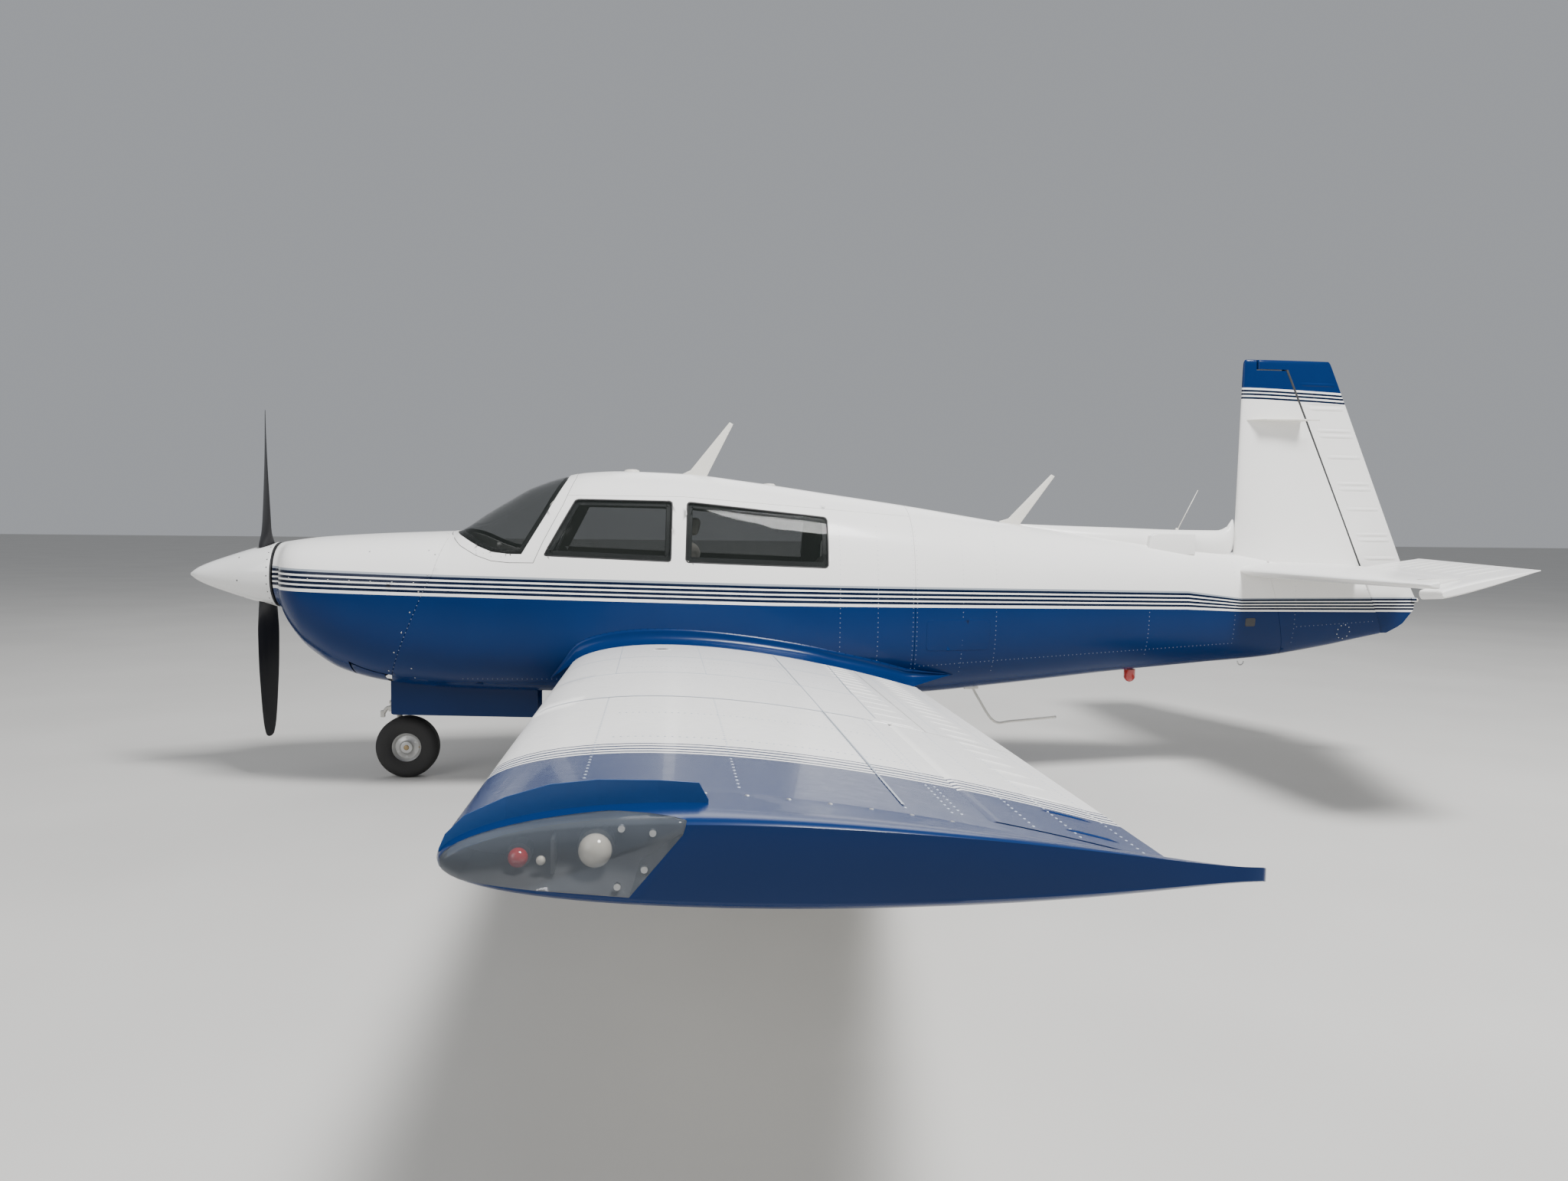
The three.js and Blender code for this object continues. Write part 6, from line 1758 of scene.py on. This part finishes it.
for side in (-1, 1):
    plate(bm, [(NOSE_TIP + s, side * y) for s, y in blade_plan], 0.0055, 0.003, axis=2, middle=FIN_AERIALS)
    rod(bm, spot(6.655, side * 0.118, FIN_AERIALS), spot(6.735, side * 0.119, FIN_AERIALS), 0.005, 0.003, 12)
finish("whip_aerials", bm, "airframe", aerial_cream)
bm = bmesh.new()
lathe(bm, [(0.0, 0.046), (0.006, 0.047), (0.016, 0.040), (0.020, 0.026), (0.0215, 0.0)],
      spot(2.505, 0.0, 1.8005), axis="Z", steps=32)
lathe(bm, [(0.0, 0.040), (0.008, 0.041), (0.018, 0.030), (0.021, 0.0)], spot(3.330, 0.10, 1.733),
      axis="Z", steps=32)
finish("satellite_aerials", bm, "airframe", aerial_cream)
bm = bmesh.new()
lathe(bm, [(0.082, 0.036), (0.030, 0.036), (0.020, 0.030), (0.008, 0.020), (0.0, 0.0)], spot(5.605, 0, 0.541),
      axis="Z", steps=28)
finish("belly_beacon", bm, "airframe", lamp_red)
bm = bmesh.new()
tube(bm, [spot(4.590, 0, 0.530), spot(4.640, 0, 0.440), spot(4.740, 0, 0.300), spot(4.860, 0, 0.300),
          spot(5.137, 0, 0.324)], 0.0075, 10)
block(bm, spot(4.540, -0.026, 0.505), spot(4.630, 0.026, 0.540), 0.006)
finish("belly_aerial", bm, "airframe", aerial_cream)
bm = bmesh.new()
plate(bm, side_view([(5.652, 1.385), (5.668, 1.462), (5.715, 1.477), (5.955, 1.4745), (5.955, 1.345),
                     (5.66, 1.345)]), 0.035,
      0.006, middle=-0.085)
finish("tail_duct", bm, "airframe", tail_paint)
# The duct's open rear mouth is a thin dark plate on its closed end: painted shade for the dark inside of the
# opening.
bm = bmesh.new()
block(bm, spot(5.9535, -0.112, 1.385), spot(5.9560, -0.058, 1.468), 0.001)
finish("tail_duct_mouth_shade", bm, "airframe", moulding, smooth=False)
bm = bmesh.new()
tube(bm, [spot(6.335 + 0.020 * math.cos(a), 0, 0.672 + 0.024 * math.sin(a))
          for a in (math.pi * (1 + k / 8) for k in range(9))], 0.004, 10)
for s, z in ((2.60, 0.512), (3.90, 0.492)):
    rod(bm, spot(s, -0.16, z + 0.008), spot(s, -0.16, z - 0.016), 0.008, 0.006, 12)
finish("belly_fittings", bm, "airframe", steel)

# Landing gear: three split aluminium wheels with grooved tyres. Each main leg is a steel tube
# sprung by a stack of rubber discs; the nose leg carries its wheel on one trailing arm.
tyre_rubber = plain("tyre_rubber", (0.014, 0.014, 0.015), (0.034, 0.033, 0.032), 0.82, 0.006, 0.0006)
wheel_alloy = plain("wheel_alloy", (0.42, 0.42, 0.41), (0.56, 0.56, 0.55), 0.42, 0.005, 0.0003, Metallic=0.85)
leg_cream = plain("leg_cream", (0.56, 0.545, 0.50), (0.66, 0.645, 0.60), 0.38, 0.012, 0.0004, Coat_Weight=0.3)
brass = plain("dull_brass", (0.30, 0.22, 0.12), (0.42, 0.32, 0.18), 0.45, 0.004, Metallic=0.9)


def tyre_profile(radius, width, rim):
    """Offsets across the wheel and radii, from one bead over the grooved tread to the other."""
    depth = radius - rim
    wall = [(-0.33, rim - 0.003), (-0.375, rim + 0.004), (-0.435, rim + 0.022), (-0.466, rim + depth * 0.42),
            (-0.468, rim + depth * 0.58), (-0.450, rim + depth * 0.74), (-0.405, radius - 0.016),
            (-0.340, radius - 0.0065), (-0.270, radius - 0.0018)]
    tread = []
    for groove in (-0.21, -0.07, 0.07, 0.21):
        tread += [(groove - 0.022, radius), (groove - 0.016, radius - 0.006)]
        tread += [(groove + 0.016, radius - 0.006), (groove + 0.022, radius)]
    return [(at * width, r) for at, r in wall + tread + [(-at, r) for at, r in reversed(wall)]]


def hub_profile(width, rim, side):
    """A wheel half with a rolled flange and a dished web, and its cap on the outer side."""
    inner = [(-0.30, 0.018), (-0.30, rim * 0.42), (-0.24, rim * 0.50), (-0.20, rim * 0.80),
             (-0.30, rim * 0.88), (-0.355, rim * 0.98), (-0.335, rim * 1.02)]
    outer = [(-at, r) for at, r in reversed(inner[1:])]
    outer += [(0.365, rim * 0.40), (0.375, rim * 0.36), (0.385, rim * 0.20), (0.387, 0.0)]
    return [(side * at * width, r) for at, r in inner + outer]


NOSE_AXLE, NOSE_RADIUS = 1.203, 0.17896  # the nose wheel's station and its tyre's radius
WHEELS = [
    # name and body, station, side, radius, width, rim, the side that its cap is on
    ("nose_wheel", NOSE_AXLE, 0.0, NOSE_RADIUS, 0.127, 0.084, -1),
    ("main_wheel_left", MAIN_AXLE, -1.395, 0.22035, 0.160, 0.096, -1),
    ("main_wheel_right", MAIN_AXLE, 1.395, 0.22035, 0.160, 0.096, 1),
]
for name, station, y, radius, width, rim, side in WHEELS:
    centre = (NOSE_TIP + station, y, radius)
    valve, cap = centre[0] + rim * 0.84, y + side * 0.380 * width
    bm = bmesh.new()
    lathe(bm, tyre_profile(radius, width, rim), centre, "Y", 96)
    sharpen(bm, 50)
    finish(f"{name}_grooved_tyre", bm, name, tyre_rubber, [f"{name}_tyre"])
    bm = bmesh.new()
    lathe(bm, hub_profile(width, rim, side), centre, "Y", 64)
    for k in range(6):
        angle = 2 * math.pi * k / 6
        x, z = centre[0] + rim * 0.66 * math.sin(angle), centre[2] + rim * 0.66 * math.cos(angle)
        rod(bm, (x, y - 0.23 * width, z), (x, y + 0.23 * width, z), 0.0062, sides=6)
    sharpen(bm)
    finish(f"{name}_split_hub", bm, name, wheel_alloy, [f"{name}_hub"])
    bm = bmesh.new()
    outer = cap + side * 0.020 * width
    rod(bm, (centre[0], cap, radius), (centre[0], outer, radius), rim * 0.20, rim * 0.15, 24)
    rod(bm, (valve, y + side * 0.20 * width, radius), (valve, y + side * 0.31 * width, radius),
        0.004, sides=10)
    finish(f"{name}_cap", bm, name, brass)
    if station == MAIN_AXLE:
        bm = bmesh.new()
        disc = (centre[0], y - side * (0.40 * width + 0.0035) - 0.0035, radius)
        lathe(bm, [(0.0, 0.030), (0.0, 0.084), (0.007, 0.084), (0.007, 0.030)], disc, "Y", 48)
        sharpen(bm)
        finish(f"{name}_brake_disc", bm, name, steel)

AXLE_HEIGHT = 0.2203
for side_name, side in SIDES:
    x, leg = NOSE_TIP + MAIN_AXLE, side * 1.277
    bm, discs = bmesh.new(), bmesh.new()
    rod(bm, (x - 0.068, leg, 0.672), (x + 0.068, leg, 0.672), 0.024, sides=28)
    rod(bm, (x, leg, 0.676), (x, side * 1.281, AXLE_HEIGHT), 0.027, 0.023, 28)
    rod(bm, (x, leg, 0.470), (x, leg, 0.500), 0.033, sides=28)
    rod(bm, (x, side * 1.262, AXLE_HEIGHT), (x, side * 1.452, AXLE_HEIGHT), 0.0155, sides=24)
    block(bm, (x - 0.034, side * 1.254, 0.180), (x + 0.034, side * 1.302, 0.262), 0.010)
    for k in range(9):
        z = 0.556 + 0.0095 * k
        rod(discs, (x - 0.026, leg, z), (x - 0.026, leg, z + 0.0075), 0.035, sides=28)
    rod(bm, (x - 0.026, leg, 0.545), (x - 0.026, leg, 0.556), 0.037, sides=28)
    rod(bm, (x - 0.026, leg, 0.6415), (x - 0.026, leg, 0.6500), 0.037, sides=28)
    rod(bm, (x, leg, 0.530), (x, side * 1.4865, 0.530), 0.008, sides=14)
    rod(bm, (x, side * 1.28, 0.300), (x, side * 1.4865, 0.400), 0.006, sides=14)
    block(bm, (x - 0.085, side * 1.297, 0.170), (x - 0.045, side * 1.316, 0.270), 0.006)
    block(bm, (x - 0.075, side * 1.270, 0.200), (x - 0.015, side * 1.300, 0.240), 0.005)
    tube(bm, [(x - 0.060, side * 1.300, 0.270), (x - 0.055, side * 1.285, 0.330),
              (x - 0.034, side * 1.277, 0.430),
              (x - 0.040, side * 1.270, 0.540), (x - 0.050, side * 1.230, 0.700)], 0.004, 8)
    sharpen(bm)
    finish(f"{side_name}_main_strut", bm, "airframe", leg_cream, [f"main_leg_{side_name}"])
    finish(f"{side_name}_rubber_discs", discs, "airframe", rubber, smooth=False)
    bm = bmesh.new()
    cover = rounded(side_view([(2.857, 0.639), (2.872, 0.331), (3.180, 0.331), (3.195, 0.639)]), 0.03)
    plate(bm, cover, 0.0012, 0.0, middle=side * 1.4895)
    plate(bm, grown(cover, -0.028), 0.0016, 0.0008, middle=side * 1.4885)
    for z in (0.43, 0.54):
        block(bm, (x - 0.120, side * 1.4870, z - 0.012), (x + 0.120, side * 1.4882, z + 0.012))
    finish(f"{side_name}_leg_door", bm, "airframe", body_paint, [f"main_gear_door_{side_name}"],
           smooth=False)

bm = bmesh.new()
top, foot = spot(1.172, 0, 0.786), spot(1.125, 0, 0.400)
rod(bm, top, foot, 0.0255, sides=28)
for share in (0.30, 0.62, 0.90):
    middle = top.lerp(foot, share)
    rod(bm, middle + (top - foot) * 0.018, middle - (top - foot) * 0.018, 0.032, sides=28)
block(bm, spot(1.096, -0.034, 0.389), spot(1.152, 0.103, 0.423), 0.009)
tube(bm, [spot(1.125, 0.0865, 0.404), spot(1.138, 0.0880, 0.340), spot(1.168, 0.0880, 0.250),
          spot(NOSE_AXLE, 0.0865, 0.179)], 0.0165, 18)
rod(bm, spot(NOSE_AXLE, -0.046, NOSE_RADIUS), spot(NOSE_AXLE, 0.1065, NOSE_RADIUS), 0.0135, sides=20)
rod(bm, spot(NOSE_AXLE, 0.0705, NOSE_RADIUS), spot(NOSE_AXLE, 0.1045, NOSE_RADIUS), 0.024, sides=24)
tube(bm, [spot(1.112, 0, 0.406), spot(1.096, 0, 0.408), spot(1.080, 0, 0.400), spot(1.063, 0, 0.373)],
     0.0115, 14)
block(bm, spot(1.048, -0.012, 0.352), spot(1.074, 0.012, 0.392), 0.004)
sharpen(bm)
finish("nose_strut_tube", bm, "nose_strut", leg_cream, ["nose_leg"])
for side_name, side in SIDES:
    bm = bmesh.new()
    outline = side_view([(1.137, 0.585), (1.137, 0.393), (1.150, 0.387), (1.950, 0.365), (1.967, 0.373),
                         (1.967, 0.535)])
    plate(bm, outline, 0.0011, 0.0, middle=side * 0.1265)
    for start, end in ((1.160, 1.330), (1.355, 1.520), (1.545, 1.735), (1.760, 1.945)):
        low = 0.392 - 0.0275 * (start - 1.150)
        panel = rounded(side_view([(start, low + 0.016), (end, low + 0.011), (end, low + 0.120),
                                   (start, low + 0.125)]), 0.02)
        plate(bm, panel, 0.0014, 0.0009, middle=side * 0.1252)
    finish(f"{side_name}_nose_door", bm, "airframe", body_paint, [f"nose_gear_door_{side_name}"],
           smooth=False)

# Small things that people handle or that serve the engine: door handles, a wing walk beside
# the door, fuel caps, an exhaust pipe and a speed probe.
walk_grit, walk_shader, walk_signal, walk_where = new_material("walk_grit")
grit = walk_signal.noise(walk_where, 700.0, 2.0)
feed(walk_shader, Base_Color=grit.tint(colour(0.010, 0.010, 0.011), colour(0.045, 0.045, 0.047)),
     Roughness=grit * 0.2 + 0.78,
     Normal=walk_signal.bumps(grit, 0.0012, 0.8))
rings = [[wing_point(1, 0.69 + 0.34 * j / 10, 0.16 + 0.50 * k / 24, 1, 0.0011) for j in range(11)]
         for k in range(25)]
walk = loft(rings, closed=False)
face_up(walk)
finish("wing_walk", walk, "airframe", walk_grit, thickness=0.0009)
caps, mounts = bmesh.new(), bmesh.new()
for side in (-1, 1):
    here, facing = wing_point(side, 1.20, 0.26, 1), wing_facing(side, 1.20, 0.26, 1)
    rod(caps, here - facing * 0.003, here + facing * 0.0012, 0.048, 0.047, 40)
    rod(mounts, here - facing * 0.003, here + facing * 0.0022, 0.036, 0.034, 36)
    block(mounts, here + Vector((-0.022, -0.004, 0.001)), here + Vector((0.022, 0.004, 0.0042)), 0.001, 2)
finish("fuel_cap_rings", caps, "airframe", wing_paint, smooth=False)
finish("fuel_caps", mounts, "airframe", moulding, smooth=False)
bm = bmesh.new()
tube(bm, [spot(1.10, 0.21, 0.66), spot(1.16, 0.21, 0.600), spot(1.235, 0.21, 0.535),
          spot(1.330, 0.21, 0.505)], 0.027, 24)
burnt_steel = plain("burnt_steel", (0.10, 0.075, 0.06), (0.24, 0.21, 0.19), 0.5, 0.01, Metallic=0.9)
finish("exhaust_pipe", bm, "airframe", burnt_steel)
bm = bmesh.new()
start = wing_point(-1, 3.30, 0.30, -1)
block(bm, start + Vector((-0.020, -0.004, -0.095)), start + Vector((0.030, 0.004, 0.006)), 0.003, 2)
rod(bm, start + Vector((-0.200, 0, -0.092)), start + Vector((0.030, 0, -0.092)), 0.0065, sides=18)
finish("speed_probe", bm, "airframe", leg_cream)
bm = bmesh.new()
here, facing = on_body(2.640, 1.085, 1)
length = 0.055
for end in (-1, 1):
    foot = here + Vector((end * length, 0, 0))
    rod(bm, foot, here + Vector((end * length * 0.9, 0, 0)) + facing * 0.016, 0.006, sides=14)
tube(bm, [here + Vector((-length * 0.9, 0.014, 0)), here + Vector((0, 0.018, 0)),
          here + Vector((length * 0.9, 0.014, 0))], 0.006, 12)
lock = on_body(2.735, 1.085, 1)[0]
rod(bm, lock, lock + Vector((0, 0.003, 0)), 0.011, sides=20)
finish("cabin_door_handle", bm, "cabin_door", steel)
bm = bmesh.new()
here = on_body(3.900, 1.075, 1)[0]
block(bm, here + Vector((-0.030, -0.003, -0.011)), here + Vector((0.030, 0.006, 0.011)), 0.003, 2)
rod(bm, here + Vector((0.052, -0.002, 0)), here + Vector((0.052, 0.004, 0)), 0.009, sides=18)
finish("baggage_door_latch", bm, "baggage_door", steel)

bpy.context.view_layer.update()
